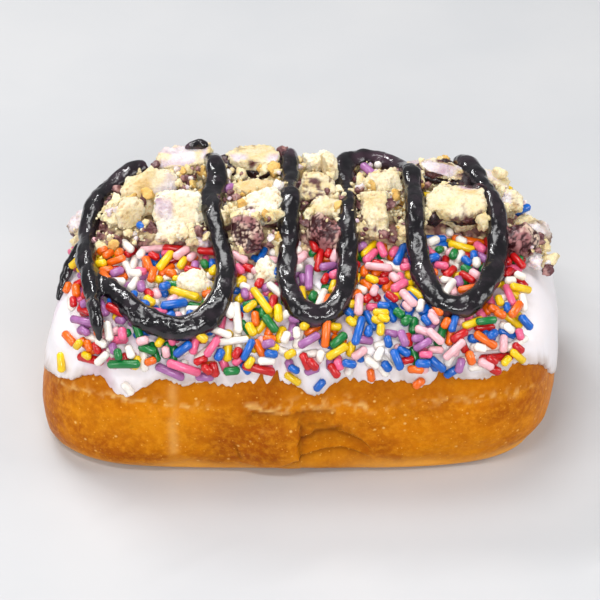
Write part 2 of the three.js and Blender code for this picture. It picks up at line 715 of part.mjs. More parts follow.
// The drizzle lies over icing, heap and pieces alike
const bar = [doughnut.getObjectByName("dough"), icingMesh];
const threads = [
  { outline: DRIZZLE_LOOPS, scale: 1 },
  { outline: DRIZZLE_TAIL, scale: 0.9 },
  { outline: DRIZZLE_RUN, scale: 0.75 },
].map(({ outline, scale }) => ({ path: drapedPath(outline, bar, coreMesh, pieceMeshes, 4.2), scale }));
const drizzle = joined(
  threads.map(({ path, scale }) =>
    solidOf(drizzleGeometry(path, scale * DRIZZLE_HALF_WIDTH, scale * DRIZZLE_HALF_HEIGHT)),
  ),
);
const drizzlePlaces = threads.flatMap(({ path }) => path.map(({ place }) => place));

// What lies on the icing is joined to it, and what lies on the heap is joined to the heap
const allPieces = joined(taken.slice(1));
const sprinkles = joined(sprinkleGeometries(drizzlePlaces).map(solidOf));
const withinIcing = solidOf(icedBody(GAP + ICING_EDGE / 2));
const onIcing = drizzle.subtract(heapBlock(GAP)).add(sprinkles).subtract(allPieces).subtract(withinIcing);
const icing = solidOf(icingShell).add(onIcing);
doughnut.add(namedMesh("icing", geometryFrom(icing), "icing"));

const crumbs = crumbGeometries([icingMesh, coreMesh], PASTRY_PIECES).map(solidOf);
const onHeap = drizzle.intersect(heapBlock(-GAP)).subtract(allPieces);
const heap = joined([solidOf(heapCore), ...crumbs]).subtract(joined(sockets)).add(onHeap).subtract(overIcing);
doughnut.add(namedMesh("crumb_heap", geometryFrom(heap), "crumbs"));

doughnut.position.x = CENTRING;
export default doughnut;
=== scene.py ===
"""Looks of an iced bar doughnut: sprinkles in front, broken toaster pastry behind, dark drizzle over all.

Sizes are in millimetres in the bar's own frame, as the solids have them, and metres() turns them into
Blender's metres in the shared frame.
"""
import math

import bmesh
import bpy
import numpy as np
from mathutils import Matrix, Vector
from mathutils.bvhtree import BVHTree


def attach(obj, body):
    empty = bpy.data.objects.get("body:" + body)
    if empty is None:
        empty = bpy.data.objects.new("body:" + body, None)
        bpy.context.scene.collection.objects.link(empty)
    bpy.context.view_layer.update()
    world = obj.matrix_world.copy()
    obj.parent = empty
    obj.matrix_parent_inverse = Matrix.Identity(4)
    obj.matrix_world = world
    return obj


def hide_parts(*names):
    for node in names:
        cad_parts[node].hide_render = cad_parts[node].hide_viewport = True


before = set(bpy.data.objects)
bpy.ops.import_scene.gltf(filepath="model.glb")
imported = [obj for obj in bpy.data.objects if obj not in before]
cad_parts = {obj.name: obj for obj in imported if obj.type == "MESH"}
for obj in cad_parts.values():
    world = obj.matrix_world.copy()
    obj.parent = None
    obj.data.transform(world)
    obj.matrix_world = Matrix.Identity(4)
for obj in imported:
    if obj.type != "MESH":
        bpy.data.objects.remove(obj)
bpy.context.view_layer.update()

# The dough bar, as the solid has it
LENGTH = 122
DEPTH = 74
WIDEST_HEIGHT = 14
SHOULDER_HEIGHT = 40
CROWN = 3.5
FOOT_ROUND = 7
TOP_ROUND = 17
CORNER_POWER = 4.4
FOOT_POWER = 2.2
TOP_POWER = 2.7
BACK_SHIFT = 0.045
LEFT_LEAN = 7
CENTRING = -0.7
DOUGH_COLUMNS = 820

# The icing
ICING_HEIGHT = 28
ICING_EDGE = 1.0
ICING_THICKNESS = 1.75
ICING_END_SAG = 11.5
ICING_COLUMNS = 900
# Drips below the front edge: X, how far down, half width
FRONT_DRIPS = [
    (-55, 6.5, 6), (-38.5, 4.8, 5), (-27, 1, 3), (-8.6, -2.4, 0.7), (-5.2, -2.8, 0.8), (4.5, 3.8, 3),
    (28.5, 1.6, 3), (33.5, -2.4, 1.6), (50, -1.6, 2.5), (57, -2, 2),
]

# The heap's edges, from left to right: X and Y
HEAP_FRONT = [
    (-50, 3), (-45, -5), (-30, -8), (-12, -13.5), (5, -9.5), (22, -10), (36, -1), (46, -6), (51, -6), (56, 0),
]
HEAP_BACK = [(-50, 17), (-44, 25), (-30, 29), (-10, 31), (12, 31), (34, 29), (49, 24), (56, 13)]
HEAP_RISE = 1.9
HEAP_GRID = (260, 114)

# The drizzle's strokes: X and Y
DRIZZLE_LOOPS = [
    (-36, 26), (-41, 21.5), (-46.5, 15), (-49, 5), (-49.2, -5), (-48, -13), (-43, -20.5), (-38, -27),
    (-31.5, -32.2), (-23.5, -33), (-18, -28.5), (-16, -18.5), (-18.5, -8), (-20.6, 3), (-18.8, 12),
    (-20.5, 23), (-20, 31), (-13, 34.3), (-5, 32.5), (-1.8, 25), (-1.8, 10), (-2, -6), (-2.4, -20),
    (-0.5, -28.6), (4, -31.3), (8.8, -29), (11.3, -22), (11.6, -8), (11.4, 8), (10.8, 20), (12.8, 25.6),
    (18, 28), (23.2, 25.4), (26.2, 18), (27.3, 5), (27.4, -8), (28.6, -19), (31.5, -26.6), (36, -28.8),
    (40.8, -26), (44.4, -17.5), (46.6, -7), (46, 2), (43.4, 12), (41, 19.5), (39, 26),
]
DRIZZLE_TAIL = [(-48.2, -12), (-46.8, -20), (-46, -27), (-45.4, -31.5), (-44.6, -33.4), (-44.2, -34)]
DRIZZLE_RUN = [(-50.2, 0.4), (-52.4, -2.2), (-55.4, -6.8), (-56.3, -9.6)]
DRIZZLE_BLOB = [(-27.8, 27.6), (-25.4, 28.6), (-23.4, 28.6), (-21.2, 27.6)]
DRIZZLE_HALF_WIDTH = 2.4
DRIZZLE_UP = 2.35
DRIZZLE_DOWN = 1.5
DRIZZLE_POOLING = 0.18
DRIZZLE_GRAIN = (1, 0.5, 1)
DRIZZLE_VOXEL = 0.35
DRIZZLE_SMOOTHING = 9
DRIZZLE_PLAN_STEP = 0.7
DRIZZLE_STEP = 0.6
STROKE_SIDES = 24
# The icing is tinted around places this far apart along the strokes
TINT_STEP = 1.5
# Between these two X and behind this Y the loops stay under this height
DRIZZLE_LOW_STRETCH = (-26, -14, 23, 46.5)

# The sprinkles: name, slot, colour on screen, share of all
SPRINKLE_COLOURS = [
    ("red", "sprinkle_red", (196, 12, 16), 0.12),
    ("orange", "sprinkle_orange", (240, 106, 2), 0.14),
    ("yellow", "sprinkle_yellow", (240, 198, 4), 0.16),
    ("green", "sprinkle_green", (8, 120, 52), 0.1),
    ("blue", "sprinkle_blue", (2, 96, 190), 0.14),
    ("pink", "sprinkle_pink", (236, 100, 140), 0.07),
    ("pale_pink", "sprinkle_pink", (240, 184, 190), 0.06),
    ("lilac", "sprinkle_lilac", (166, 104, 162), 0.1),
    ("white", "sprinkle_white", (246, 238, 228), 0.17),
]
SPRINKLE_SEED = 5
SPRINKLE_TRIES = 90000
SPRINKLES_ON_HEAP = 10
HEAP_SPRINKLE_BOX = ((-48, 54), (-12, 30))
HEAP_SPRINKLE_LENGTHS = (3, 5.5)
SPRINKLE_RADIUS = 1.0
SPRINKLE_LENGTHS = (2.9, 8.4)
SPRINKLE_TOUCH = 1.5
SPRINKLE_FURTHEST_OUT = 39.2
# The first tries lie side by side, and the later ones may lie on others
SPRINKLE_FIRST_TRIES = 0.7
SPRINKLE_FIRST_LIFT = 0.5
SPRINKLE_MOST_LIFT = 2.7

# The pastry pieces' finishes: how much frosting, filling and smooth crust each shows, from 0 to 1
PASTRY_LOOKS = {
    "tall": (0.95, 0.15, 0.5),
    "baked_side": (0.1, 0.1, 1),
    "pale": (0.1, 0.15, 0.15),
    "corner": (0.1, 0.15, 1),
    "left_end": (0.9, 0.5, 0.3),
    "roof": (0.4, 0.3, 1),
    "cream": (0.4, 0.15, 0.4),
    "sliver": (0.1, 0.05, 0.6),
    "golden": (0.1, 0.2, 1),
    "crumbly": (0.15, 0.35, 0),
    "small_pale": (0.2, 0.1, 0),
    "cluster": (0.2, 0.6, 0),
    "slab": (0.3, 0.2, 0.6),
    "rough": (0.1, 0.2, 0),
    "behind_rough": (0.3, 0.4, 0.2),
    "far_right": (0.5, 0.6, 0.5),
    "big_right": (0.2, 0.3, 0.5),
    "right_shard": (0.3, 0.3, 0.3),
    "right_end": (0.35, 0.6, 0.1),
    "in_loop": (0.2, 0.05, 0.2),
}
OTHER_LOOK = (0.4, 0.3, 0.6)
FROSTED_SIDE = {"tall": (-0.5, 0.3, 0.81), "left_end": (-0.7, 0, 0.71)}
WHITE_PIECES = ["pale", "small_pale", "cream", "in_loop", "crumbly"]
JAM_PIECES = ["jam_left", "jam_front", "jam_lump", "right_front"]
ROUNDED_PIECES = ["right_end", "right_front"]
PASTRY_VOXEL = 0.33
FILLING_BULGE = 0.8
ROUNDED_SMOOTHING = 14
ROUNDED_BULGE = 0.7
PASTRY_SEED = 100

# The small crumbs: kind, how many, smallest and largest size
CRUMB_KINDS = [
    ("pale", 330, (1.4, 5.2)),
    ("golden", 70, (1.4, 4.2)),
    ("jam", 230, (1.3, 4.6)),
    ("frosted", 110, (1.4, 4.4)),
    ("fine", 700, (0.7, 1.4)),
]

# What each kind of crumb is made of: material, its two colours on screen, slot
CRUMB_LOOKS = {
    "pale": ("pale pastry crumb", (232, 218, 182), (218, 192, 132), "crust"),
    "golden": ("golden pastry crumb", (224, 186, 110), (206, 156, 74), "crust"),
    "jam": ("fruit crumb", (88, 46, 50), (172, 130, 124), "filling"),
    "frosted": ("frosted crumb", (240, 232, 228), (196, 164, 180), "frosting"),
    "fine": ("fine pastry crumb", (236, 220, 180), (218, 190, 140), "crust"),
}
CRUMB_SHAPES = 14
CRUMB_FLATS = 7
CRUMB_TRIES = 60
CRUMB_SEED = 21
CRUMB_BOX = ((-55, 56.5), (-16, 33))
CRUMBS_ON_PIECES = 0.04
HIGHEST_PILE = 6.5
LOWEST_CRUMB = 20

# Beyond this X, at both ends, this share of the places for pale and golden crumbs is refused
PALE_END = 46
PALE_REFUSED = 0.6

# Left of this X the crumbs spill up to this far beyond the heap's edge
LEFT_SPILL = (-48, 5)

# The crumbs that spill over the right end: share of the tries, X and Y
SPILL_SHARE = 0.035
SPILL_BOX = ((52.5, 58.6), (-8.5, -1))

# How a crumb is made, by its size: from and to which size, subdivisions and depth of its lumps
CRUMB_DETAIL = [((0, 1.4), 1, 0.4), ((1.4, 2.3), 2, 0.4), ((2.3, 9), 3, 1)]

# The camera, at the photograph's angle
CAMERA_ELEVATION = 34
CAMERA_DISTANCE = 620
CAMERA_TARGET = (0.6, 0, 26)
CAMERA_LENS = 156
CAMERA_SENSOR = 36

# The stage, in metres: lights as name, place, size and power
LIGHTS = [
    ("soft_box_above", (-0.1, 0.12, 0.75), (0.35, 0.28), 2.4),
    ("soft_box_front", (0.08, -0.75, 0.45), (0.36, 0.2), 3.8),
    ("soft_box_left", (-0.75, -0.25, 0.3), (0.3, 0.5), 2.0),
    ("soft_box_right", (0.75, -0.1, 0.35), (0.3, 0.5), 2.5),
    ("glint_behind", (-0.32, 0.4, 0.6), (0.3, 0.02), 2.2),
    ("glint_front", (-0.2, -0.45, 0.75), (0.3, 0.02), 2.2),
]
LIGHT_TARGET = Vector((0, 0, 0.03))
SKY_COLOUR = (0.85, 0.87, 0.9, 1)
SKY_STRENGTH = 0.3
FLOOR_REACH = 3


def metres(points):
    """Points of the bar's frame, in millimetres, in the shared frame's metres."""
    return (np.asarray(points, float) + (CENTRING, 0, 0)) / 1000


def millimetres(points):
    """Points of the shared frame, in metres, in the bar's frame."""
    return np.asarray(points, float) * 1000 - (CENTRING, 0, 0)


def smooth(low, high, value):
    share = np.clip((value - low) / (high - low), 0, 1)
    return share * share * (3 - 2 * share)


def bell(value, middle, half_width):
    return np.exp(-(((value - middle) / half_width) ** 2))


def unit(vectors):
    """Vectors brought to a length of 1."""
    return vectors / np.linalg.norm(vectors, axis=-1, keepdims=True)


def noise(points, size, seed=0):
    """Smooth random values from -1 to 1, in bumps about size across."""
    table = np.random.default_rng(seed).uniform(-1, 1, (32, 32, 32))
    cell = np.asarray(points) / size
    low = np.floor(cell).astype(int)
    share = cell - low
    share = share * share * (3 - 2 * share)
    value = 0
    for corner in np.ndindex(2, 2, 2):
        weight = np.prod(np.where(corner, share, 1 - share), axis=-1)
        index = (low + corner) % 32
        value = value + weight * table[index[..., 0], index[..., 1], index[..., 2]]
    return value


def rough(points, size, seed=0, octaves=3):
    return sum(noise(points, size / 2**i, seed + i) / 2**i for i in range(octaves))


def grains(points, size, seed=0):
    """Round grains about size across: 1 on their tops and 0 between them."""
    table = np.random.default_rng(seed).uniform(0.1, 0.9, (16, 16, 16, 3))
    cell = np.asarray(points) / size
    low = np.floor(cell).astype(int)
    nearest = np.full(cell.shape[:-1], 9.0)
    for step in np.ndindex(3, 3, 3):
        corner = low + step - 1
        index = corner % 16
        centre = corner + table[index[..., 0], index[..., 1], index[..., 2]]
        nearest = np.minimum(nearest, ((cell - centre) ** 2).sum(-1))
    return 1 - np.clip(nearest, 0, 1)


# The bar's surface
def profile(course):
    """Inset, height and spread along the side, as in the solid: 1 foot, 2 widest, 3 shoulder, 4 top."""
    course = np.asarray(course, float)
    foot = np.clip(course - 1, 0, 1) * math.pi / 2
    top = np.clip(course - 2, 0, 1) * math.pi / 2
    spread = np.where(course < 1, course, np.clip(4 - course, 0, 1))
    below = FOOT_ROUND * (1 - np.sin(foot) ** (2 / FOOT_POWER))
    above = TOP_ROUND * (1 - np.cos(top) ** (2 / TOP_POWER))
    height = WIDEST_HEIGHT * (1 - np.cos(foot) ** (2 / FOOT_POWER))
    height = height + (SHOULDER_HEIGHT - WIDEST_HEIGHT) * np.sin(top) ** (2 / TOP_POWER)
    height = height + np.where(course > 3, CROWN * (1 - spread**2), 0)
    return np.where(course < 2, below, above), height, spread


def course_at_height(height):
    share = np.clip((height - WIDEST_HEIGHT) / (SHOULDER_HEIGHT - WIDEST_HEIGHT), 0, 1)
    return 2 + np.arcsin(share ** (TOP_POWER / 2)) / (math.pi / 2)


def plain_point(angle, course):
    inset, height, spread = profile(course)
    across = np.abs(np.cos(angle) / (LENGTH / 2 - inset)) ** CORNER_POWER
    along = np.abs(np.sin(angle) / (DEPTH / 2 - inset)) ** CORNER_POWER
    radius = spread * (across + along) ** (-1 / CORNER_POWER)
    x = radius * np.cos(angle)
    y = radius * np.sin(angle)
    lean = LEFT_LEAN * (height / (SHOULDER_HEIGHT + CROWN)) * (0.5 - x / LENGTH)
    return np.stack([x + lean + BACK_SHIFT * y, y, height + 0 * x], axis=-1)


def plain_normal(angle, course):
    step = 0.01
    held = np.clip(course, 1.02, 3.98)
    around = plain_point(angle + step, held) - plain_point(angle - step, held)
    rise = plain_point(angle, held + step) - plain_point(angle, held - step)
    return unit(np.cross(around, rise))


def dough_relief(point):
    """The solid's soft unevenness and the shallow dent and flap in the middle of the front."""
    x, y, z = np.moveaxis(point, -1, 0)
    sides = smooth(0, 4, z) * (1 - smooth(24, 34, z))
    uneven = 0.5 * np.sin(x / 9 + z / 7) + 0.35 * np.sin(y / 6 - x / 15)
    front = smooth(10, 30, -y)
    dent = 1.5 * bell(x, 11, 8) * bell(z, 9, 6)
    flap = 0.7 * bell(x, -4, 6) * bell(z, 10, 8)
    return sides * (uneven + front * (flap - dent))


def bar_point(angle, course, lift=0):
    point = plain_point(angle, course)
    out = lift + dough_relief(point)
    return point + plain_normal(angle, course) * out[..., None]


def outline_angles(count, front_share=1):
    """Angles at equal steps along the bar's outline, or finer by that factor along the front."""
    fine = np.linspace(0, 2 * math.pi, 4001)
    outline = plain_point(fine, 2)
    steps = np.linalg.norm(np.diff(outline, axis=0), axis=1)
    steps = steps * (1 + (front_share - 1) * smooth(5, 25, -outline[1:, 1]))
    lengths = np.concatenate([[0], steps.cumsum()])
    return np.interp(np.arange(count) / count * lengths[-1], lengths, fine)


def icing_edge(angle):
    """Height of the icing's dipped edge: drips in front, a sag at both ends, and fine ragged scallops."""
    at = plain_point(angle, 2.25)
    x, y = at[..., 0], at[..., 1]
    waves = 0.7 * np.sin(5 * angle + 1) + 0.6 * np.sin(13 * angle) + 0.5 * np.sin(29 * angle)
    height = ICING_HEIGHT + 0.5 * waves
    front = smooth(8, 32, -y)
    for place, drop_by, half_width in FRONT_DRIPS:
        height = height - front * drop_by * bell(x, place, half_width)
    sag = ICING_END_SAG * smooth(52, 60, np.abs(x)) * smooth(-37, -18, y) * (1 - 0.6 * smooth(4, 28, y))
    scallops = 0.4 * np.abs(noise(at, 2.1, 5)) + 0.9 * np.abs(noise(at, 1.0, 6)) + 0.2 * noise(at, 0.6, 7)
    return height - sag + 0.4 - scallops


def icing_course(angle, share):
    edge = course_at_height(icing_edge(angle))
    return edge + (4 - edge) * share


def icing_lift(point, share):
    thickness = ICING_EDGE + (ICING_THICKNESS - ICING_EDGE) * smooth(0.02, 0.12, share)
    return thickness + 0.12 * noise(point, 5, 8) * smooth(0.01, 0.06, share)


# Meshes
def ring_faces(rows, columns):
    """Four-sided faces between rows of points that close on themselves."""
    row, column = np.mgrid[0 : rows - 1, 0:columns]
    here = row * columns + column
    beside = row * columns + (column + 1) % columns
    return np.stack([here, beside, beside + columns, here + columns], axis=-1).reshape(-1, 4)


def grid_faces(rows, columns):
    """Four-sided faces of an open grid."""
    row, column = np.mgrid[0 : rows - 1, 0 : columns - 1]
    here = row * columns + column
    return np.stack([here, here + columns, here + columns + 1, here + 1], axis=-1).reshape(-1, 4)


def cap_faces(first, columns, middle, up):
    """Three-sided faces from a row of points to one middle point."""
    around = np.arange(columns)
    a = first + around
    b = first + (around + 1) % columns
    order = [a, b] if up else [b, a]
    return np.stack([*order, np.full(columns, middle)], axis=-1)


def mesh_of(name, points, faces, marks):
    """A mesh from points in millimetres and lists of faces. marks are named values at its points."""
    mesh = bpy.data.meshes.new(name)
    mesh.from_pydata(metres(points).tolist(), [], [face for group in faces for face in group.tolist()])
    mesh.polygons.foreach_set("use_smooth", np.ones(len(mesh.polygons), bool))
    for key, values in marks.items():
        mesh.attributes.new(key, "FLOAT", "POINT").data.foreach_set("value", np.asarray(values, np.float32))
    mesh.update()
    return mesh


def linked(name, data):
    """A new object of the scene."""
    made = bpy.data.objects.new(name, data)
    bpy.context.scene.collection.objects.link(made)
    return made


def add_piece(name, points, faces, marks, material, slot, *nodes):
    """Adds a piece that rides on the frame and stands for the named solids."""
    mesh = mesh_of(name, points, faces, marks)
    mesh.materials.append(material)
    piece = linked(name, mesh)
    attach(piece, "root")
    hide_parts(*nodes)


def skin_of(rows, first, last):
    """Points and faces of a closed skin from rows of points and a point at each end."""
    count = rows.shape[1]
    points = np.concatenate([rows.reshape(-1, 3), [first, last]])
    ends = len(points)
    lower = cap_faces(0, count, ends - 2, up=False)
    upper = cap_faces((len(rows) - 1) * count, count, ends - 1, up=True)
    return points, [ring_faces(len(rows), count), lower, upper]


def refined(mesh, voxel, smoothing):
    """Points, faces and normals of a mesh in metres, remade of even faces with softened edges."""
    draft = linked("draft", mesh)
    remesh = draft.modifiers.new("even", "REMESH")
    remesh.mode = "VOXEL"
    remesh.voxel_size = voxel / 1000
    soften = draft.modifiers.new("soften", "SMOOTH")
    soften.factor = 0.5
    soften.iterations = smoothing
    graph = bpy.context.evaluated_depsgraph_get()
    made = bpy.data.meshes.new_from_object(draft.evaluated_get(graph))
    bpy.data.objects.remove(draft)
    points = np.empty(len(made.vertices) * 3)
    made.vertices.foreach_get("co", points)
    normals = np.empty(len(made.vertices) * 3)
    made.vertex_normals.foreach_get("vector", normals)
    faces = np.array([face.vertices[:] for face in made.polygons])
    bpy.data.meshes.remove(made)
    return millimetres(points.reshape(-1, 3)), faces, normals.reshape(-1, 3)


def tree_of(points, faces):
    return BVHTree.FromPolygons(points.tolist(), [face for group in faces for face in group.tolist()])


def drop(trees, x, y):
    """The height and normal of the highest hit straight down at a place, or None."""
    hits = [tree.ray_cast(Vector((x, y, 200)), Vector((0, 0, -1))) for tree in trees]
    found = [(place.z, normal) for place, normal, _, _ in hits if place is not None]
    return max(found, key=lambda hit: hit[0]) if found else None


# Materials
def screen(red, green, blue):
    """A colour given as it looks on screen, 0 to 255, as Blender's linear colour."""
    parts = [value / 255 for value in (red, green, blue)]
    return (*[part / 12.92 if part <= 0.04045 else ((part + 0.055) / 1.055) ** 2.4 for part in parts], 1)


def put(tree, socket, value):
    """Links a socket to another one, or sets it to a value."""
    if isinstance(value, bpy.types.NodeSocket):
        tree.links.new(value, socket)
    else:
        socket.default_value = value


def node(tree, kind, settings=None, **sockets):
    """A shader node with its settings, and its sockets set or linked by name (spaces as _)."""
    made = tree.nodes.new(kind)
    for key, value in (settings or {}).items():
        setattr(made, key, value)
    for key, value in sockets.items():
        put(tree, made.inputs[key.replace("_", " ")], value)
    return made


def combined(tree, operation, first, second):
    made = node(tree, "ShaderNodeMath", {"operation": operation})
    put(tree, made.inputs[0], first)
    put(tree, made.inputs[1], second)
    return made.outputs[0]


def open_group(name, kind, **inputs):
    """A node group with numbers as inputs and one output: the group, its inputs and the object's points."""
    group = bpy.data.node_groups.new(name, "ShaderNodeTree")
    for label, value in inputs.items():
        made = group.interface.new_socket(label, in_out="INPUT", socket_type="NodeSocketFloat")
        made.default_value = value
    group.interface.new_socket("Result", in_out="OUTPUT", socket_type="NodeSocket" + kind)
    place = node(group, "ShaderNodeTexCoord").outputs["Object"]
    return group, group.nodes.new("NodeGroupInput").outputs, place


def close_group(group, result):
    group.links.new(result, group.nodes.new("NodeGroupOutput").inputs["Result"])
    return group


def patches_group():
    """Soft patches: a mask between Low and High of a noise."""
    group, given, place = open_group("Patches", "Float", Scale=100.0, Low=0.4, High=0.6, Rough=0.5)
    texture = node(group, "ShaderNodeTexNoise", Vector=place, Scale=given["Scale"], Detail=4.0,
                   Roughness=given["Rough"])
    ramp = node(group, "ShaderNodeMapRange", {"interpolation_type": "SMOOTHSTEP"}, Value=texture.outputs[0],
                From_Min=given["Low"], From_Max=given["High"])
    return close_group(group, ramp.outputs["Result"])


def specks_group():
    """Small scattered dots: 1 in the middle of each dot, 0 outside."""
    group, given, place = open_group("Specks", "Float", Scale=500.0, Size=0.2, Share=0.5)
    dots = node(group, "ShaderNodeTexVoronoi", Vector=place, Scale=given["Scale"])
    inside = node(group, "ShaderNodeMapRange", Value=dots.outputs["Distance"], From_Max=given["Size"],
                  To_Min=1.0, To_Max=0.0)
    chosen = node(group, "ShaderNodeSeparateColor", Color=dots.outputs["Color"])
    kept = combined(group, "LESS_THAN", chosen.outputs["Red"], given["Share"])
    return close_group(group, combined(group, "MULTIPLY", inside.outputs["Result"], kept))


def grain_group():
    """A fine uneven surface, as a normal."""
    group, given, place = open_group("Grain", "Vector", Scale=900.0, Strength=0.4, Depth=0.0002)
    texture = node(group, "ShaderNodeTexNoise", Vector=place, Scale=given["Scale"], Detail=5.0)
    bump = node(group, "ShaderNodeBump", Height=texture.outputs[0], Strength=given["Strength"],
                Distance=given["Depth"])
    return close_group(group, bump.outputs["Normal"])


GROUPS = {"patches": patches_group(), "specks": specks_group(), "grain": grain_group()}


class Paint:
    """A material in the making: its node tree, its one shader and the effects that reach it."""

    def __init__(self, name):
        self.material = bpy.data.materials.new(name)
        self.material.use_nodes = True
        self.tree = self.material.node_tree
        self.tree.nodes.clear()
        self.shader = self.tree.nodes.new("ShaderNodeBsdfPrincipled")
        self.shader.inputs["Subsurface Scale"].default_value = 1
        node(self.tree, "ShaderNodeOutputMaterial", Surface=self.shader.outputs[0])

    def effect(self, group, **sockets):
        return node(self.tree, "ShaderNodeGroup", {"node_tree": GROUPS[group]}, **sockets).outputs[0]

    def between(self, mask, low, high):
        """A mask stretched to run from low to high."""
        return node(self.tree, "ShaderNodeMapRange", Value=mask, To_Min=low, To_Max=high).outputs["Result"]

    def patches(self, scale, low, high, rough=0.5, share=1):
        mask = self.effect("patches", Scale=scale, Low=low, High=high, Rough=rough)
        return mask if share == 1 else self.between(mask, 0, share)

    def specks(self, scale, size, share):
        return self.effect("specks", Scale=scale, Size=size, Share=share)

    def grain(self, scale, strength, depth):
        return self.effect("grain", Scale=scale, Strength=strength, Depth=depth)

    def mark(self, name, share=1):
        mask = node(self.tree, "ShaderNodeAttribute", {"attribute_name": name}).outputs["Fac"]
        return mask if share == 1 else self.between(mask, 0, share)

    def colour(self, under, *layers):
        """A colour with others laid over it by masks, as (mask, colour). Three numbers are as on screen."""
        for mask, over in layers:
            made = node(self.tree, "ShaderNodeMix", {"data_type": "RGBA"})
            put(self.tree, made.inputs[0], mask)
            for socket, value in ((made.inputs[6], under), (made.inputs[7], over)):
                put(self.tree, socket, screen(*value) if isinstance(value, tuple) else value)
            under = made.outputs[2]
        return under

    def finish(self, **sockets):
        """Sets or links the shader's sockets by name, and gives the material."""
        for key, value in sockets.items():
            put(self.tree, self.shader.inputs[key.replace("_", " ")], value)
        return self.material


def dough_material():
    paint = Paint("golden fried dough")
    colour = paint.colour(
        (148, 70, 0),
        (paint.patches(42, 0.34, 0.68, 0.55), (198, 114, 0)),
        (paint.patches(95, 0.42, 0.72, 0.65, share=0.6), (210, 132, 3)),
        (paint.patches(210, 0.45, 0.8, 0.7, share=0.65), (152, 78, 0)),
        (paint.patches(620, 0.4, 0.7, 0.7, share=0.4), (228, 152, 30)),
        (paint.mark("deep", 0.4), (156, 80, 0)),
        # Painted light: the rim mark lightens the lowest band of the sides, against the shade low on the bar.
        (paint.mark("rim"), (232, 162, 66)),
        # Painted shade in the front's creases and under its ledges.
        (paint.mark("crease"), (112, 54, 0)),
        # The skin mark pales torn skin and flakes, and also lays a painted highlight on the ledges' lips.
        (paint.mark("skin", 0.85), (222, 172, 98)),
        (paint.specks(420, 0.2, 0.2), (230, 182, 100)),
        (paint.specks(900, 0.22, 0.3), (226, 166, 70)),
    )
    return paint.finish(
        Base_Color=colour, Roughness=paint.between(paint.mark("skin"), 0.42, 0.7), Specular_IOR_Level=0.08,
        Subsurface_Weight=0.08, Subsurface_Radius=(0.003, 0.0015, 0.0006),
        Normal=paint.grain(1000, 0.5, 0.0002),
    )


def icing_material():
    paint = Paint("white icing")
    colour = paint.colour(
        (230, 224, 227),
        (paint.mark("thin"), (184, 166, 156)),
        (paint.patches(120, 0.35, 0.7), (230, 222, 223)),
        (paint.mark("tint"), (196, 160, 188)),
    )
    return paint.finish(
        Base_Color=colour, Roughness=0.32, Coat_Weight=0.2, Coat_Roughness=0.25,
        Subsurface_Weight=0.2, Subsurface_Radius=(0.002, 0.0017, 0.0015),
        Normal=paint.grain(500, 0.2, 0.0003),
    )


def pastry_material(name, crumb, golden):
    """Baked pastry: pale crumb, golden crust outside, frosting and filling by the piece's own marks."""
    paint = Paint(name)
    lilac = paint.colour((226, 218, 216), (paint.patches(110, 0.35, 0.75, 0.6), (156, 112, 136)))
    colour = paint.colour(
        crumb,
        (paint.patches(170, 0.36, 0.7, 0.7), golden),
        (paint.patches(900, 0.55, 0.8), (196, 166, 112)),
        (paint.mark("baked"), (208, 160, 72)),
        # Painted shade in the hollows between the crumb's grains.
        (paint.mark("pit"), (188, 144, 86)),
        (paint.mark("frosting"), lilac),
        (paint.mark("filling"), (92, 52, 54)),
    )
    return paint.finish(
        Base_Color=colour, Roughness=paint.between(paint.mark("filling"), 0.8, 0.35),
        Subsurface_Weight=0.3, Subsurface_Radius=(0.0016, 0.0011, 0.0006),
        Normal=paint.grain(1300, 1.0, 0.0005),
    )


def jam_material(name, dark, pale):
    """Sticky fruit filling with crumb worked into it."""
    paint = Paint(name)
    return paint.finish(
        Base_Color=paint.colour(dark, (paint.patches(520, 0.42, 0.7), pale)),
        Roughness=paint.between(paint.patches(700, 0.4, 0.6), 0.25, 0.6),
        Subsurface_Weight=0.1, Subsurface_Radius=(0.003, 0.001, 0.001),
        Normal=paint.grain(1100, 0.7, 0.0003),
    )


def heap_material(name, dark, grain_one, grain_two):
    """Crumbs packed in filling: paler grains, dark between."""
    paint = Paint(name)
    grain = paint.colour(grain_one, (paint.patches(150, 0.44, 0.56), grain_two))
    return paint.finish(
        Base_Color=paint.colour(dark, (paint.mark("grain"), grain)), Roughness=0.3, Specular_IOR_Level=0.3,
        Normal=paint.grain(1200, 0.6, 0.0003),
    )


def drizzle_material():
    paint = Paint("dark fruit drizzle")
    # The rim mark lays a painted purple sheen on the drizzle's sides and far strokes.
    colour = paint.colour(
        (16, 13, 17), (paint.patches(240, 0.45, 0.7), (38, 30, 36)), (paint.mark("rim"), (92, 62, 78))
    )
    return paint.finish(
        Base_Color=colour, Roughness=paint.between(paint.patches(300, 0.3, 0.7), 0.04, 0.11),
        Specular_IOR_Level=0.5, Coat_Weight=0.15, Coat_Roughness=0.3, Normal=paint.grain(420, 0.5, 0.0006),
    )


def sprinkle_material(name, colour):
    paint = Paint(name + " sugar sprinkle")
    full = screen(*colour)
    deeper = [0.8 * value for value in full[:3]] + [1]
    return paint.finish(
        Base_Color=paint.colour(deeper, (paint.patches(600, 0.35, 0.7), list(full))), Roughness=0.33,
        Subsurface_Weight=0.15, Subsurface_Radius=(0.001, 0.001, 0.001),
        Coat_Weight=0.2, Coat_Roughness=0.2, Normal=paint.grain(1600, 0.15, 0.0001),
    )


def floor_material():
    paint = Paint("pale paper floor")
    colour = paint.colour((186, 187, 189), (paint.patches(14, 0.3, 0.7), (192, 192, 193)))
    return paint.finish(Base_Color=colour, Roughness=0.8)


# The dough
def ledge(z, line, depth, reach):
    """A step in under a line, that comes out again further down."""
    below = line - z
    return -depth * smooth(-0.12, 0.3, below) * np.exp(-np.clip(below, 0, None) / reach)


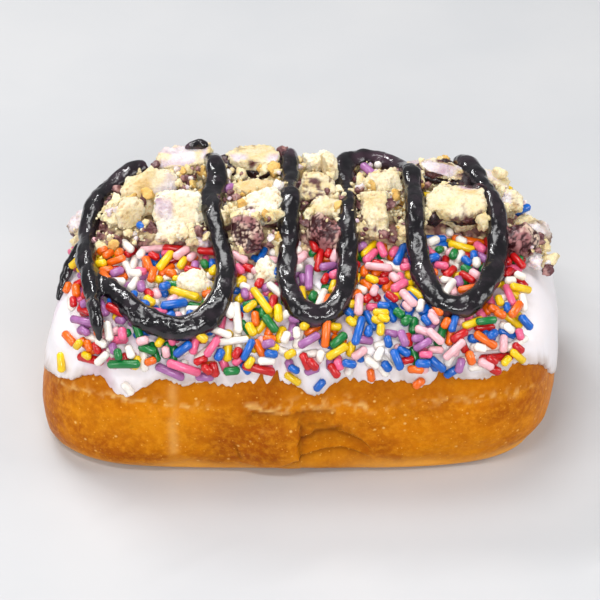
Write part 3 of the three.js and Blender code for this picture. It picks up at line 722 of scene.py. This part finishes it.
def front_folds(point):
    """The front's flap and folds: how far they stand out, painted shade in and under them, and pale torn
    edges.
    """
    x, y, z = np.moveaxis(point, -1, 0)
    wavy = 0.45 * noise(point, 2.2, 20) + 0.25 * noise(point, 0.9, 21)
    front = smooth(18, 30, -y)
    flap = smooth(-15, -9, x) * (1 - smooth(0.3, 0.7, x + wavy)) * (1 - smooth(13.5, 17, z))
    lip = 4.4 + 2.4 * smooth(-6, 0.5, x) + 0.5 * wavy
    beside = np.clip(x + wavy - 0.5, 0, None)
    crack = smooth(-0.1, 0.25, x + wavy - 0.5) * np.exp(-beside / 2.5)
    crack = crack * smooth(5, 7, z) * (1 - smooth(16, 20, z))
    arch = 14.4 - 0.05 * (x - 6.5) ** 2 + 0.8 * wavy
    fold = 8.6 - 0.035 * (x - 8) ** 2 + 0.6 * wavy
    brow = 17.2 - 0.06 * (x - 5) ** 2 + wavy
    right = smooth(0.3, 1, x) * np.clip(1.15 - ((x - 5.5) / 11.5) ** 2, 0, 1)
    upper = smooth(-13, -10, x) * (1 - smooth(8.3, 8.8, x + wavy))
    folds = ledge(z, arch, 1.5, 3.2) + ledge(z, fold, 1.0, 2.4) + ledge(z, brow, 0.5, 2)
    out = 0.9 * flap * smooth(-0.3, 0.2, z - lip) + right * folds - 0.8 * crack
    out = front * (out + upper * ledge(z, 20.4 + wavy, 0.45, 2.5))
    # Painted shade under each ledge: darkest right below its line, fading downwards over the given reach.
    shade = [(arch, 2.2, right), (fold, 1.8, right), (brow, 1.5, 0.7 * right), (20.4 + wavy, 1.5, upper)]
    shade.append((lip, 1.6, smooth(-13, -8, x) * (1 - smooth(0.5, 1, x))))
    seam = bell(x + 0.5 * wavy, -10.7 - 0.36 * z, 0.4) * smooth(5, 6.5, z) * (1 - smooth(10, 12, z))
    # Torn skin and painted highlight: a pale line along the flap's top and the upper ledge's lip.
    edge = flap * bell(z, 16.2 + wavy, 0.35) + 0.8 * upper * bell(z, 20.4 + wavy, 0.3)
    out = out - 0.25 * seam * front
    # Painted shade: the dough is darkened along the seam, the crack and the flap's fold, and under the ledges
    # below.
    crease = 0.6 * seam + 0.1 * flap * bell(z, 14.5, 1.8) + 0.8 * crack * np.exp(-beside / 0.8)
    for line, reach, part in shade:
        below = np.clip(line - z, 0, None)
        crease = crease + 0.8 * part * smooth(0, 0.35, below) * np.exp(-below / reach)
    edge = front * edge * smooth(-0.5, 0.2, noise(point, 2.5, 22))
    return out, np.clip(front * crease, 0, 1), edge


def dough_piece():
    angle = outline_angles(DOUGH_COLUMNS, 2)
    course = np.concatenate([np.linspace(1, 2.62, 108), np.linspace(2.7, 3.9, 8)])
    around = angle[None, :] + 0 * course[:, None]
    rows = bar_point(around, course[:, None])
    normal = plain_normal(around, course[:, None])
    fold, crease, edge = front_folds(rows)
    x, y, z = np.moveaxis(rows, -1, 0)
    side = smooth(0.5, 3, z)
    line = 21.4 + 1.3 * noise(rows, 19, 31) + 1.1 * noise(rows, 6, 32) + 0.8 * noise(rows, 1.9, 33)
    torn = smooth(-0.5, 0.1, noise(rows, 8, 34))
    flakes = smooth(0.05, 0.45, noise(rows, 1.2, 35)) * bell(z, line, 1.2) * torn
    thread = bell(z, line, 0.34) * torn * smooth(-0.2, 0.4, noise(rows, 1.6, 36))
    soft = 0.45 * noise(rows, 14, 37) + 0.28 * noise(rows * (0.6, 0.6, 1.4), 5, 38)
    soft = soft + 0.09 * noise(rows, 2.4, 39) + 0.04 * noise(rows, 1.0, 42)
    out = fold + side * (soft + 0.12 * flakes + 0.15 * thread + torn * ledge(z, line, 0.25, 1.6))
    rows = rows + normal * out[..., None]
    rows[0, :, 2] = 0
    points, faces = skin_of(rows, (0, 0, 0), bar_point(np.array(0.0), np.array(4.0)))
    smear = 0.5 * bell(x, -28.5, 1.1) * smooth(8, 20, -y) * smooth(-0.6, 0.3, noise(rows, 5, 40))
    # Pale torn skin and flakes, and a painted highlight on the ledges' lips.
    skin = np.clip(0.75 * flakes + 0.8 * thread + 0.9 * edge, 0, 1)
    # The crease mark is painted shade in the front's creases and under its ledges.
    marks = {"crease": crease, "skin": np.maximum(skin, smear), "deep": smooth(-1, 1.5, z - line)}
    # Painted light: the rim mark lightens the lowest band of the sides, against the shade there, less in the
    # front dent.
    marks["rim"] = (1 - smooth(0.5, 6.5 + 2.5 * noise(rows, 9, 41), z)) * (1 - 0.6 * bell(x, 6, 8))
    marks = {key: [*values.ravel(), 0, 0] for key, values in marks.items()}
    add_piece("dough_bar", points, faces, marks, dough_material(), "dough", "dough")
    return tree_of(points, faces)


# The icing
def icing_surface(angle, share, lift_by=0):
    point = bar_point(angle, icing_course(angle, share))
    normal = plain_normal(angle, icing_course(angle, share))
    return point + normal * (icing_lift(point, share) + lift_by)[..., None]


def icing_piece(strokes):
    angle = outline_angles(ICING_COLUMNS, 1.8)
    rim = [(0, -1.3), (0, -0.75), (0.0015, -0.4), (0.004, -0.17), (0.008, -0.06), (0.013, 0)]
    share = np.concatenate([[at for at, _ in rim], np.linspace(0.02, 0.5, 44), np.linspace(0.52, 0.98, 11)])
    sunk = np.concatenate([[down for _, down in rim], np.zeros(55)])
    around = angle[None, :] + 0 * share[:, None]
    rows = icing_surface(around, share[:, None] + 0 * around, sunk[:, None] + 0 * around)
    flat = rows.reshape(-1, 3)
    nearest = np.full(len(flat), 99.0)
    for place in strokes:
        nearest = np.minimum(nearest, np.linalg.norm(flat - place, axis=1))
    tint = 0.35 * (1 - smooth(3.0, 5.0, nearest + 0.8 * noise(flat, 2, 41)))
    height = flat[:, 2] - np.repeat(icing_edge(angle)[None, :], len(share), 0).ravel()
    thin = 0.9 * (1 - smooth(0.4, 4.4, height + 1.2 * noise(flat, 2.5, 42)))
    top = icing_surface(np.array(0.0), np.array(1.0))
    count = len(angle)
    points = np.concatenate([flat, [top]])
    faces = [ring_faces(len(share), count), cap_faces((len(share) - 1) * count, count, len(flat), up=True)]
    marks = {"thin": [*thin, 0], "tint": [*tint, 0]}
    add_piece("icing_coat", points, faces, marks, icing_material(), "icing", "icing")
    return tree_of(points, faces)


# The heap
def heap_front(x):
    return np.interp(x, *zip(*HEAP_FRONT))


def heap_back(x):
    return np.interp(x, *zip(*HEAP_BACK))


def in_heap(x, y, inside=0):
    left, right = HEAP_FRONT[0][0], HEAP_FRONT[-1][0]
    within = (x > left + inside) & (x < right - inside)
    return within & (y > heap_front(x) + inside) & (y < heap_back(x) - inside)


def heap_core(icing):
    """The heap's own mass under the loose crumbs, on the icing: points, faces and which points are grains."""
    left, right = HEAP_FRONT[0][0], HEAP_FRONT[-1][0]
    xs = np.linspace(left, right, HEAP_GRID[0])
    share = np.linspace(0, 1, HEAP_GRID[1])
    x = xs[:, None] + 0 * share
    y = heap_front(x) + (heap_back(x) - heap_front(x)) * share
    base = np.array([[drop([icing], a, b)[0] for a, b in zip(*row)] for row in zip(x, y)])
    plan = np.stack([x, y, 0 * x], axis=-1)
    border = smooth(0, 1.2, y - heap_front(x)) * smooth(0, 1.2, heap_back(x) - y)
    border = border * smooth(0, 1.2, x - left) * smooth(0, 1.2, right - x)
    rise = smooth(0, 4.5, y - heap_front(x)) * smooth(0, 7, heap_back(x) - y)
    rise = rise * smooth(0, 6, x - left) * smooth(0, 6, right - x)
    grain = 0.55 * grains(plan, 2.7, 50) + 0.45 * grains(plan, 1.2, 51)
    top = base + rise * HEAP_RISE + border * (1.9 * grain - 0.3 + 0.25 * rough(plan, 1.1, 52)) - 0.2
    points = np.stack([x, y, top], axis=-1).reshape(-1, 3)
    return points, [grid_faces(*HEAP_GRID)], smooth(0.4, 0.75, grain).ravel()


class Ground:
    """The height of what lies on the doughnut, as a grid seen from above, for things to settle on."""

    STEP = 0.4
    LOW = np.array([-64.0, -42.0])
    SIZE = (320, 210)
    PIECE_RISE = 0.8

    def __init__(self, trees, loose):
        """trees lie under the pastry pieces, which are loose."""
        self.top = np.full(self.SIZE, -1.0)
        for i, j in np.ndindex(*self.SIZE):
            hit = drop(trees, *self.place(i, j))
            if hit:
                self.top[i, j] = hit[0]
        self.under = self.top.copy()
        for i, j in zip(*np.nonzero(self.top > LOWEST_CRUMB)):
            hit = drop(loose, *self.place(i, j))
            if hit:
                self.top[i, j] = max(self.top[i, j], hit[0])
        self.on_piece = self.top > self.under + self.PIECE_RISE

    def place(self, i, j):
        return self.LOW + self.STEP * np.array([i, j])

    def cell(self, x, y):
        return tuple(np.round((np.array([x, y]) - self.LOW) / self.STEP).astype(int))

    def window(self, x, y, reach):
        """The cells within reach of a place, with their distance from it."""
        i, j = self.cell(x, y)
        span = int(math.ceil(reach / self.STEP))
        rows = slice(max(0, i - span), i + span + 1)
        columns = slice(max(0, j - span), j + span + 1)
        a, b = np.mgrid[rows, columns]
        away = np.hypot(self.LOW[0] + self.STEP * a - x, self.LOW[1] + self.STEP * b - y)
        return rows, columns, away

    def rest(self, x, y, radius):
        """Where something of that radius comes to rest: mostly on the highest ground under it."""
        rows, columns, away = self.window(x, y, radius)
        under = self.top[rows, columns][away <= max(radius, self.STEP)]
        return 0.4 * under.max() + 0.6 * under.mean()

    def pile(self, x, y, height, radius):
        """Raises the ground by a round thing whose middle is at that height."""
        rows, columns, away = self.window(x, y, radius)
        dome = height + 0.8 * np.sqrt(np.clip(radius**2 - away**2, 0, None))
        cells = self.top[rows, columns]
        self.top[rows, columns] = np.where(away <= radius, np.maximum(cells, dome), cells)

    def height(self, x, y):
        return self.top[self.cell(x, y)]


def pastry_marks(points, normals, key, layered, seed):
    """Where a piece shows frosting, filling, baked crust and painted pit shade, and how far its crumb stands
    out.
    """
    frosting_share, filling_share, crust_share = PASTRY_LOOKS.get(key, OTHER_LOOK)
    middle = points.mean(0)
    _, axes = np.linalg.eigh(np.cov((points - middle).T))
    thin_axis = axes[:, 0] * (1 if axes[2, 0] > 0 else -1)
    layer = (points - middle) @ thin_axis
    layer = layer / np.abs(layer).max()
    facing = normals @ thin_axis
    crust = smooth(0.75, 0.95, np.abs(facing)) * smooth(0.3, 0.6, np.abs(layer))
    crust = crust * smooth(0.5 - crust_share, 1 - crust_share, 0.5 + 0.5 * noise(points, 3, seed + 8))
    facing = normals @ np.array(FROSTED_SIDE.get(key, thin_axis))
    frosting = smooth(0.5, 0.75, facing + 0.3 * noise(points, 2.4, seed))
    blotches = 0.6 + 0.6 * noise(points, 5, seed + 1)
    frosting = frosting * smooth(1 - frosting_share, 1.2 - frosting_share, blotches) * (layered != "base")
    grain = 0.3 * grains(points, 1.5, seed + 3) + 0.7 * grains(points, 0.75, seed + 4)
    stain = 0.5 + 0.6 * rough(points, 3.6, seed + 2) + 0.5 * (0.5 - grain)
    filling = smooth(0.85 - 0.75 * filling_share, 1.15 - 0.75 * filling_share, stain)
    filling = filling * (1 - 0.8 * frosting) * (1 - 0.6 * crust)
    # Painted shade: the pits between the grains are darkened, less on smooth crust.
    pit = 0.8 * smooth(0.35, 0.7, 1 - grain) * (1 - 0.7 * crust)
    baked = 0.5 * crust * smooth(-0.1, 0.5, noise(points, 4, seed + 5))
    crumbly = 1.1 * (grain - 0.55) + 0.7 * rough(points, 3.2, seed + 6)
    out = crumbly * (1 - 0.85 * crust) + 0.8 * noise(points, 6.5, seed + 7)
    return {"frosting": frosting, "filling": filling, "baked": baked, "pit": pit}, out


def filling_marks(points, seed):
    """Where a lump of filling shows pale grains, and how far they stand out."""
    grain = grains(points, 0.75, seed + 1)
    lumps = rough(points, 1.9, seed + 4)
    out = 0.35 * (grain - 0.55) + 0.6 * lumps + 1.4 * noise(points, 4.4, seed + 2)
    return {"grain": smooth(0.66, 0.86, grain + 0.35 * lumps)}, out


def pastry_pieces():
    """A crumbly piece for each solid piece of pastry. Gives their trees."""
    pale = pastry_material("pale baked pastry", (224, 212, 182), (216, 192, 134))
    white = pastry_material("white pastry crumb", (238, 232, 214), (230, 216, 180))
    jam = heap_material("sticky fruit filling", (56, 22, 26), (216, 190, 168), (150, 100, 100))
    dark_jam = jam_material("dark fruit filling", (30, 12, 18), (84, 46, 48))
    trees = []
    names = sorted(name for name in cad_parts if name.startswith("pastry_"))
    for seed, name in enumerate(names, PASTRY_SEED):
        key = name.removeprefix("pastry_")
        layered = next((part for part in ("base", "filling", "top") if key.endswith("_" + part)), "")
        key = key.removesuffix("_" + layered)
        rounded = key in ROUNDED_PIECES
        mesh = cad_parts[name].data.copy()
        points, faces, normals = refined(mesh, PASTRY_VOXEL, ROUNDED_SMOOTHING if rounded else 1)
        if layered == "filling" or key in JAM_PIECES:
            marks, out = filling_marks(points, 7 * seed)
            out = out + (FILLING_BULGE if layered else 0)
            material, slot = (dark_jam if layered else jam), "filling"
        else:
            marks, out = pastry_marks(points, normals, key, layered, 7 * seed)
            material, slot = (white if key in WHITE_PIECES else pale), "crust"
        points = points + normals * (out + (ROUNDED_BULGE if rounded else 0))[:, None]
        add_piece(name.replace("pastry_", "piece_"), points, [faces], marks, material, slot, name)
        trees.append(tree_of(points, [faces]))
    return trees


def ball(subdivisions):
    """Points and faces of a round ball of radius 1."""
    draft = bmesh.new()
    bmesh.ops.create_icosphere(draft, subdivisions=subdivisions, radius=1)
    draft.verts.index_update()
    points = np.array([vertex.co[:] for vertex in draft.verts])
    faces = np.array([[vertex.index for vertex in face.verts] for face in draft.faces])
    draft.free()
    return points, faces


def crumb_shapes(points, count, lumpy, random):
    """Broken crumbs of size 1: a ball with sides knocked flat and a rough skin."""
    shapes = []
    for seed in range(count):
        shape = points * random.uniform(0.6, 1.0, 3)
        for _ in range(CRUMB_FLATS):
            away = unit(random.normal(size=3))
            over = np.clip(shape @ away - random.uniform(0.25, 0.7), 0, None)
            shape = shape - over[:, None] * away
        lumps = 0.4 * rough(shape * 3, 1.5, 900 + 5 * seed) + 0.1 * noise(shape, 0.3, 990 + seed)
        shape = shape * (1 + lumpy * lumps[:, None])
        shapes.append(0.55 * shape)
    return np.array(shapes)


def random_turns(count, random):
    """Random rotation matrices."""
    turns, _ = np.linalg.qr(random.normal(size=(count, 3, 3)))
    return turns * np.sign(np.linalg.det(turns))[:, None, None]


def copies(shapes, faces, places, turns, sizes):
    """Joined copies of shapes, each turned, sized and placed. Gives points and faces."""
    points = np.einsum("nij,npj->npi", turns, shapes) * sizes[:, None, None] + places[:, None, :]
    count = shapes.shape[1]
    every = faces[None] + (np.arange(len(shapes)) * count)[:, None, None]
    return points.reshape(-1, 3), every.reshape(-1, faces.shape[1])


def settle_crumbs(ground, random):
    """Places for each kind of crumb, the largest first, piled on the heap between the large pieces."""
    wanted = []
    for kind, count, (small, large) in CRUMB_KINDS:
        sizes = small + (large - small) * random.power(0.6, count)
        wanted += [(size, kind) for size in sizes]
    wanted.sort(reverse=True)
    settled = {kind: [] for kind, _, _ in CRUMB_KINDS}
    spill_start, spill_reach = LEFT_SPILL
    for size, kind in wanted:
        for _ in range(CRUMB_TRIES):
            x, y = (random.uniform(*sides) for sides in CRUMB_BOX)
            spill = spill_reach * random.random() ** 1.5 if x < spill_start else 0
            if random.random() < SPILL_SHARE:
                x, y = (random.uniform(*sides) for sides in SPILL_BOX)
            elif not in_heap(np.array(x), np.array(y), 0.3 - spill):
                continue
            radius = 0.42 * size
            cell = ground.cell(x, y)
            if ground.on_piece[cell] and random.random() > CRUMBS_ON_PIECES:
                continue
            if abs(x) > PALE_END and kind in ("pale", "golden") and random.random() < PALE_REFUSED:
                continue
            level = ground.rest(x, y, radius)
            if not LOWEST_CRUMB <= level <= ground.under[cell] + HIGHEST_PILE:
                continue
            height = level + 0.15 * size
            ground.pile(x, y, height, radius)
            settled[kind].append((x, y, height, size))
            break
    return settled


def crumb_pieces(ground):
    random = np.random.default_rng(CRUMB_SEED)
    settled = settle_crumbs(ground, random)
    for kind, placed in settled.items():
        placed = np.array(placed)
        every, joined = np.empty((0, 3)), []
        for (low, high), subdivisions, lumpy in CRUMB_DETAIL:
            places = placed[(placed[:, 3] >= low) & (placed[:, 3] < high)]
            if len(places):
                points, faces = ball(subdivisions)
                shapes = crumb_shapes(points, CRUMB_SHAPES, lumpy, random)
                shapes = shapes[random.integers(0, CRUMB_SHAPES, len(places))]
                turns = random_turns(len(places), random)
                points, faces = copies(shapes, faces, places[:, :3], turns, places[:, 3])
                joined.append(faces + len(every))
                every = np.concatenate([every, points])
        name, one, two, slot = CRUMB_LOOKS[kind]
        material = (jam_material if kind == "jam" else pastry_material)(name, one, two)
        add_piece("crumbs_" + kind, every, joined, {}, material, slot, "crumb_heap")


def core_piece(points, faces, grain):
    material = heap_material("crumbs in filling", (98, 60, 56), (228, 204, 158), (158, 114, 108))
    add_piece("heap_core", points, faces, {"grain": grain}, material, "filling", "crumb_heap")


# The sprinkles
def sprinkle_parts(sides=8):
    """A sprinkle's points, as an end of 1 or -1 and an offset in radii from there, and its faces."""
    turns = np.arange(sides) / sides * 2 * math.pi
    rows = []
    for end, tilts in ((-1, (60, 12)), (1, (12, 60))):
        for tilt in np.radians(tilts):
            ends = [np.full(sides, end), np.full(sides, 0.7 * end * math.sin(tilt))]
            ring = [math.cos(tilt) * np.cos(turns), math.cos(tilt) * np.sin(turns)]
            rows.append(np.stack([*ends, *ring], axis=-1))
    body = np.array(rows).reshape(-1, 4)
    points = np.concatenate([body, [[-1, -0.7, 0, 0], [1, 0.7, 0, 0]]])
    quads = ring_faces(4, sides)
    caps = [cap_faces(0, sides, len(body), up=False), cap_faces(3 * sides, sides, len(body) + 1, up=True)]
    triangles = np.concatenate([quads[:, [0, 1, 2]], quads[:, [0, 2, 3]], *caps])
    return points, triangles


def sprinkle_density(points, ups):
    """How likely a place on the icing is to hold a sprinkle: few at the ends, low down and at the back."""
    x, y, z = points.T
    right_end = 1 - smooth(50, 54, x + 2 * noise(points, 6, 73))
    left_end = 1 - 0.7 * smooth(54, 60, -x)
    ends = 1 - smooth(0.45, 0.85, np.abs(ups[:, 0]))
    back = 1 - 0.7 * smooth(20, 34, y)
    low = 0.32 + 0.68 * smooth(28, 33.5, z)
    return right_end * left_end * ends * back * low * ~in_heap(x, y, 1.5)


def likely_places(random, count):
    """Random places on the icing, more where sprinkles are dense, with the direction that faces out."""
    angle = outline_angles(2000)[random.integers(0, 2000, count)]
    share = random.uniform(0.02, 0.93, count)
    points = icing_surface(angle, share)
    course = icing_course(angle, share)
    ups = plain_normal(angle, course)
    area = np.clip(4 - course, 0, 1)
    kept = random.random(count) < area * sprinkle_density(points, ups)
    return points[kept], ups[kept]


def strewn_sprinkles(random):
    """Sprinkles on the icing, side by side and then on others, as middle, direction, way up and length."""
    placed = []
    spots = np.empty((0, 3))
    samples = np.linspace(-0.42, 0.42, 5)
    shortest, longest = SPRINKLE_LENGTHS
    points, ups = likely_places(random, SPRINKLE_TRIES)
    crowded = sprinkle_density(points, ups)
    for turn, (point, up, density) in enumerate(zip(points, ups, crowded)):
        done = turn / len(points)
        spin = random.uniform(0, math.pi)
        side = unit(np.cross(up, [0.3, 0.2, 1.0]))
        along = math.cos(spin) * side + math.sin(spin) * np.cross(up, side)
        length = shortest + (longest - shortest) * random.random() ** (1.3 + 1.2 * done)
        middle = point + up * 0.62 * SPRINKLE_RADIUS
        rod = middle + samples[:, None] * length * along
        near = spots[((spots - middle) ** 2).sum(1) < (0.5 * length + 5) ** 2]
        lifts = np.zeros(5)
        if len(near):
            away = rod[:, None] - near[None]
            rise = away @ up
            beside = (away**2).sum(-1) - rise**2
            if beside.min() < (SPRINKLE_TOUCH + 3 * (0.8 - density)) ** 2 and density < 0.8:
                continue
            need = np.sqrt(np.clip(SPRINKLE_TOUCH**2 - beside, 0, None)) - rise
            lifts = np.where(beside < SPRINKLE_TOUCH**2, need, 0).max(1).clip(0)
        first, last = lifts[:3].max(), lifts[2:].max()
        most_lift = SPRINKLE_FIRST_LIFT if done < SPRINKLE_FIRST_TRIES else SPRINKLE_MOST_LIFT
        if max(first, last) > most_lift:
            continue
        if np.abs(rod[:, 1] + up[1] * max(first, last)).max() > SPRINKLE_FURTHEST_OUT:
            continue
        along = unit(along * length + up * (last - first))
        middle = middle + up * (first + last) / 2
        spots = np.concatenate([spots, middle + samples[:, None] * length * along])
        placed.append((middle, along, up, length))
    return placed


def heap_sprinkles(ground, random):
    """A few sprinkles that lie among the crumbs."""
    placed = []
    while len(placed) < SPRINKLES_ON_HEAP:
        x, y = (random.uniform(*sides) for sides in HEAP_SPRINKLE_BOX)
        if not in_heap(np.array(x), np.array(y), 1) or ground.on_piece[ground.cell(x, y)]:
            continue
        height = ground.rest(x, y, 1.4) + 0.3
        spin = random.uniform(0, math.pi)
        along = unit(np.array([math.cos(spin), math.sin(spin), random.uniform(-0.3, 0.3)]))
        length = random.uniform(*HEAP_SPRINKLE_LENGTHS)
        placed.append((np.array([x, y, height]), along, np.array([0.0, 0, 1]), length))
        ground.pile(x, y, height, 1)
    return placed


def sprinkle_pieces(placed, random):
    parts, faces = sprinkle_parts()
    middles = np.array([middle for middle, _, _, _ in placed])
    shares = np.array([share for _, _, _, share in SPRINKLE_COLOURS])
    clump = np.stack([noise(middles, 8, 70 + i) for i in range(len(shares))], axis=1)
    weight = shares * np.exp(2.2 * clump)
    weight /= weight.sum(1, keepdims=True)
    chosen = (random.random((len(placed), 1)) > weight.cumsum(1)).sum(1).clip(0, len(shares) - 1)
    for index, (name, slot, colour, _) in enumerate(SPRINKLE_COLOURS):
        points = []
        for middle, along, up, length in (placed[i] for i in np.flatnonzero(chosen == index)):
            across = unit(np.cross(up, along))
            above = np.cross(along, across)
            radius = SPRINKLE_RADIUS * random.uniform(0.9, 1.08)
            half = max(0.02, length / 2 - 0.7 * radius)
            reach = parts[:, 0] * half + parts[:, 1] * radius
            bend = random.normal() * 0.045 * length
            sideways = parts[:, 2] * radius + bend * ((reach / (half + radius)) ** 2 - 0.3)
            local = [reach, sideways, parts[:, 3] * radius]
            points.append(middle + sum(a[:, None] * b for a, b in zip(local, (along, across, above))))
        every = faces[None] + (np.arange(len(points)) * len(parts))[:, None, None]
        points, every = np.concatenate(points), [every.reshape(-1, 3)]
        add_piece("sprinkles_" + name, points, every, {}, sprinkle_material(name, colour), slot, "icing")


# The drizzle
def distances(line):
    """How far along a line each of its points lies."""
    return np.concatenate([[0], np.linalg.norm(np.diff(line, axis=0), axis=1).cumsum()])


def stroke_outline(outline, spacing):
    """Places at even steps along a smooth line through the given places."""
    given = np.array(outline, float)
    ends = np.concatenate([[2 * given[0] - given[1]], given, [2 * given[-1] - given[-2]]])
    steps = []
    for a, b, c, d in zip(ends, ends[1:], ends[2:], ends[3:]):
        t = np.linspace(0, 1, 20, endpoint=False)[:, None]
        bend = 2 * a - 5 * b + 4 * c - d
        twist = 3 * b - a - 3 * c + d
        steps.append(0.5 * (2 * b + (c - a) * t + bend * t**2 + twist * t**3))
    fine = np.concatenate([*steps, given[-1:]])
    lengths = distances(fine)
    even = np.linspace(0, lengths[-1], int(lengths[-1] / spacing))
    return np.stack([np.interp(even, lengths, fine[:, k]) for k in range(2)], axis=-1)


def evened(values, reach):
    """A running average with a bell of that reach, in samples."""
    offsets = np.arange(-3 * reach, 3 * reach + 1)
    weights = np.exp(-((offsets / reach) ** 2))
    padded = np.pad(values, 3 * reach, mode="edge")
    return np.convolve(padded, weights / weights.sum(), mode="valid")


def draped_stroke(outline, bar_trees, ground):
    """A stroke's way over the bar, as places at even steps, and the direction that faces out at each."""
    plan = stroke_outline(outline, DRIZZLE_PLAN_STEP)
    left, right, front, ceiling = DRIZZLE_LOW_STRETCH
    level, normal, extra = [], [], []
    for x, y in plan:
        height, direction = drop(bar_trees, x, y)
        top = ground.height(x, y)
        if outline is DRIZZLE_LOOPS and left < x < right and y > front:
            top = min(top, ceiling)
        level.append(height)
        normal.append(list(direction))
        extra.append(max(0, top - height))
    bridged = [max(extra[max(0, i - 4) : i + 5]) for i in range(len(extra))]
    lift = evened(evened(0.75 * np.array(bridged) + 0.25 * np.array(extra), 5), 4)
    path = np.stack([*plan.T, evened(np.array(level), 2) + lift], axis=-1)
    lengths = distances(path)
    even = np.linspace(0, lengths[-1], int(lengths[-1] / DRIZZLE_STEP))
    reach = max(1, min(4, len(even) // 12))
    path = [evened(evened(np.interp(even, lengths, values), reach), reach) for values in path.T]
    out = np.stack([evened(np.interp(even, lengths, values), 7) for values in np.array(normal).T], axis=-1)
    return np.stack(path, axis=-1), unit(out)


def stroke_mesh(path, out, scale):
    """Points and faces of a thick stroke that swells, thins and pools at the front turns."""
    along = unit(np.gradient(path, axis=0))
    across = unit(np.cross(along, out))
    up = np.cross(across, along)
    swell = scale * (1 + 0.14 * noise(path, 9, 60) + 0.08 * noise(path, 3.5, 61))
    swell = swell * (1 + DRIZZLE_POOLING * smooth(22, 31, -path[:, 1]))
    steps = np.arange(len(path))
    ends = np.minimum(steps, steps[::-1]) / 4
    swell = swell * np.sqrt(np.clip(1 - (1 - np.clip(ends, 0, 1)) ** 2, 0.02, 1))
    turn = (np.arange(STROKE_SIDES) + 0.5) / STROKE_SIDES * 2 * math.pi
    wide = np.sign(np.cos(turn)) * np.abs(np.cos(turn)) ** 0.8
    tall = np.sign(np.sin(turn)) * np.abs(np.sin(turn)) ** 0.9
    height = np.where(tall > 0, DRIZZLE_UP, DRIZZLE_DOWN) * tall
    rings = path[:, None] + swell[:, None, None] * (
        across[:, None] * (DRIZZLE_HALF_WIDTH * wide)[None, :, None] + up[:, None] * height[None, :, None]
    )
    return skin_of(rings[:, ::-1], path[0] - 0.3 * along[0], path[-1] + 0.3 * along[-1])


def drizzle_piece(bar_trees, ground):
    points = np.empty((0, 3))
    faces = []
    strokes = [
        (DRIZZLE_LOOPS, 1, 1),
        (DRIZZLE_TAIL, 0.95, 0.3),
        (DRIZZLE_RUN, 0.65, 0.4),
        (DRIZZLE_BLOB, 0.62, 0.7),
    ]
    for outline, first, last in strokes:
        path, out = draped_stroke(outline, bar_trees, ground)
        scale = first + (last - first) * smooth(0.35, 1, np.linspace(0, 1, len(path)))
        more, skin = stroke_mesh(path, out, scale)
        faces += [group + len(points) for group in skin]
        points = np.concatenate([points, more])
    draft = mesh_of("drizzle_draft", points, faces, {})
    points, faces, normals = refined(draft, DRIZZLE_VOXEL, DRIZZLE_SMOOTHING)
    drawn = points * DRIZZLE_GRAIN
    uneven = 0.4 * rough(drawn, 3.2, 64, 2) + 0.13 * noise(drawn, 1.3, 66) + 0.05 * noise(drawn, 0.7, 68)
    points = points + normals * uneven[:, None]
    # Painted sheen: the rim mark, purple-grey, on faces that turn sideways and down and on the strokes
    # towards the back.
    rim = 0.6 * smooth(0.0, 0.5, 0.25 - normals[:, 2]) * smooth(-0.1, 0.5, noise(points, 2.2, 67))
    rim = np.maximum(rim, 0.5 * smooth(14, 30, points[:, 1]) * smooth(-0.5, 0.5, noise(points, 4, 69)))
    material = drizzle_material()
    add_piece("fruit_drizzle", points, [faces], {"rim": rim}, material, "drizzle", "icing", "crumb_heap")


# The stage
def add_light(name, place, size, power):
    data = bpy.data.lights.new(name, "AREA")
    data.shape = "RECTANGLE"
    data.size, data.size_y = size
    data.energy = power
    light = linked(name, data)
    light.location = place
    light.rotation_euler = (LIGHT_TARGET - Vector(place)).to_track_quat("-Z", "Y").to_euler()


def add_stage():
    mesh = bpy.data.meshes.new("floor")
    corners = [(x * FLOOR_REACH, y * FLOOR_REACH, 0) for x, y in ((-1, -1), (1, -1), (1, 1), (-1, 1))]
    mesh.from_pydata(corners, [], [(0, 1, 2, 3)])
    mesh.materials.append(floor_material())
    floor = linked("floor", mesh)
    for light in LIGHTS:
        add_light(*light)
    world = bpy.data.worlds.new("studio")
    world.use_nodes = True
    sky = world.node_tree.nodes["Background"].inputs
    sky["Color"].default_value = SKY_COLOUR
    sky["Strength"].default_value = SKY_STRENGTH
    bpy.context.scene.world = world


def add_camera():
    data = bpy.data.cameras.new("camera")
    data.lens = CAMERA_LENS
    data.sensor_width = CAMERA_SENSOR
    data.clip_start = 0.01
    camera = linked("camera", data)
    tilt = math.radians(CAMERA_ELEVATION)
    back = CAMERA_DISTANCE * np.array([0, -math.cos(tilt), math.sin(tilt)])
    camera.location = Vector(metres(np.array(CAMERA_TARGET) + back))
    camera.rotation_euler = (math.pi / 2 - tilt, 0, 0)
    bpy.context.scene.camera = camera
    bpy.context.scene.view_settings.view_transform = "Standard"


def main():
    add_camera()
    add_stage()
    dough = dough_piece()
    lines = [stroke_outline(line, TINT_STEP) for line in (DRIZZLE_LOOPS, DRIZZLE_TAIL, DRIZZLE_RUN)]
    strokes = [(x, y, drop([dough], x, y)[0] + ICING_THICKNESS) for x, y in np.concatenate(lines)]
    icing = icing_piece(np.array(strokes))
    random = np.random.default_rng(SPRINKLE_SEED)
    placed = strewn_sprinkles(random)
    core_points, core_faces, grain = heap_core(icing)
    core_piece(core_points, core_faces, grain)
    ground = Ground([dough, icing, tree_of(core_points, core_faces)], pastry_pieces())
    crumb_pieces(ground)
    placed += heap_sprinkles(ground, random)
    sprinkle_pieces(placed, random)
    for middle, along, _, length in placed:
        for share in (-0.3, 0, 0.3):
            x, y, z = middle + share * length * along
            ground.pile(x, y, z, 0.9 * SPRINKLE_RADIUS)
    drizzle_piece([dough, icing], ground)


main()
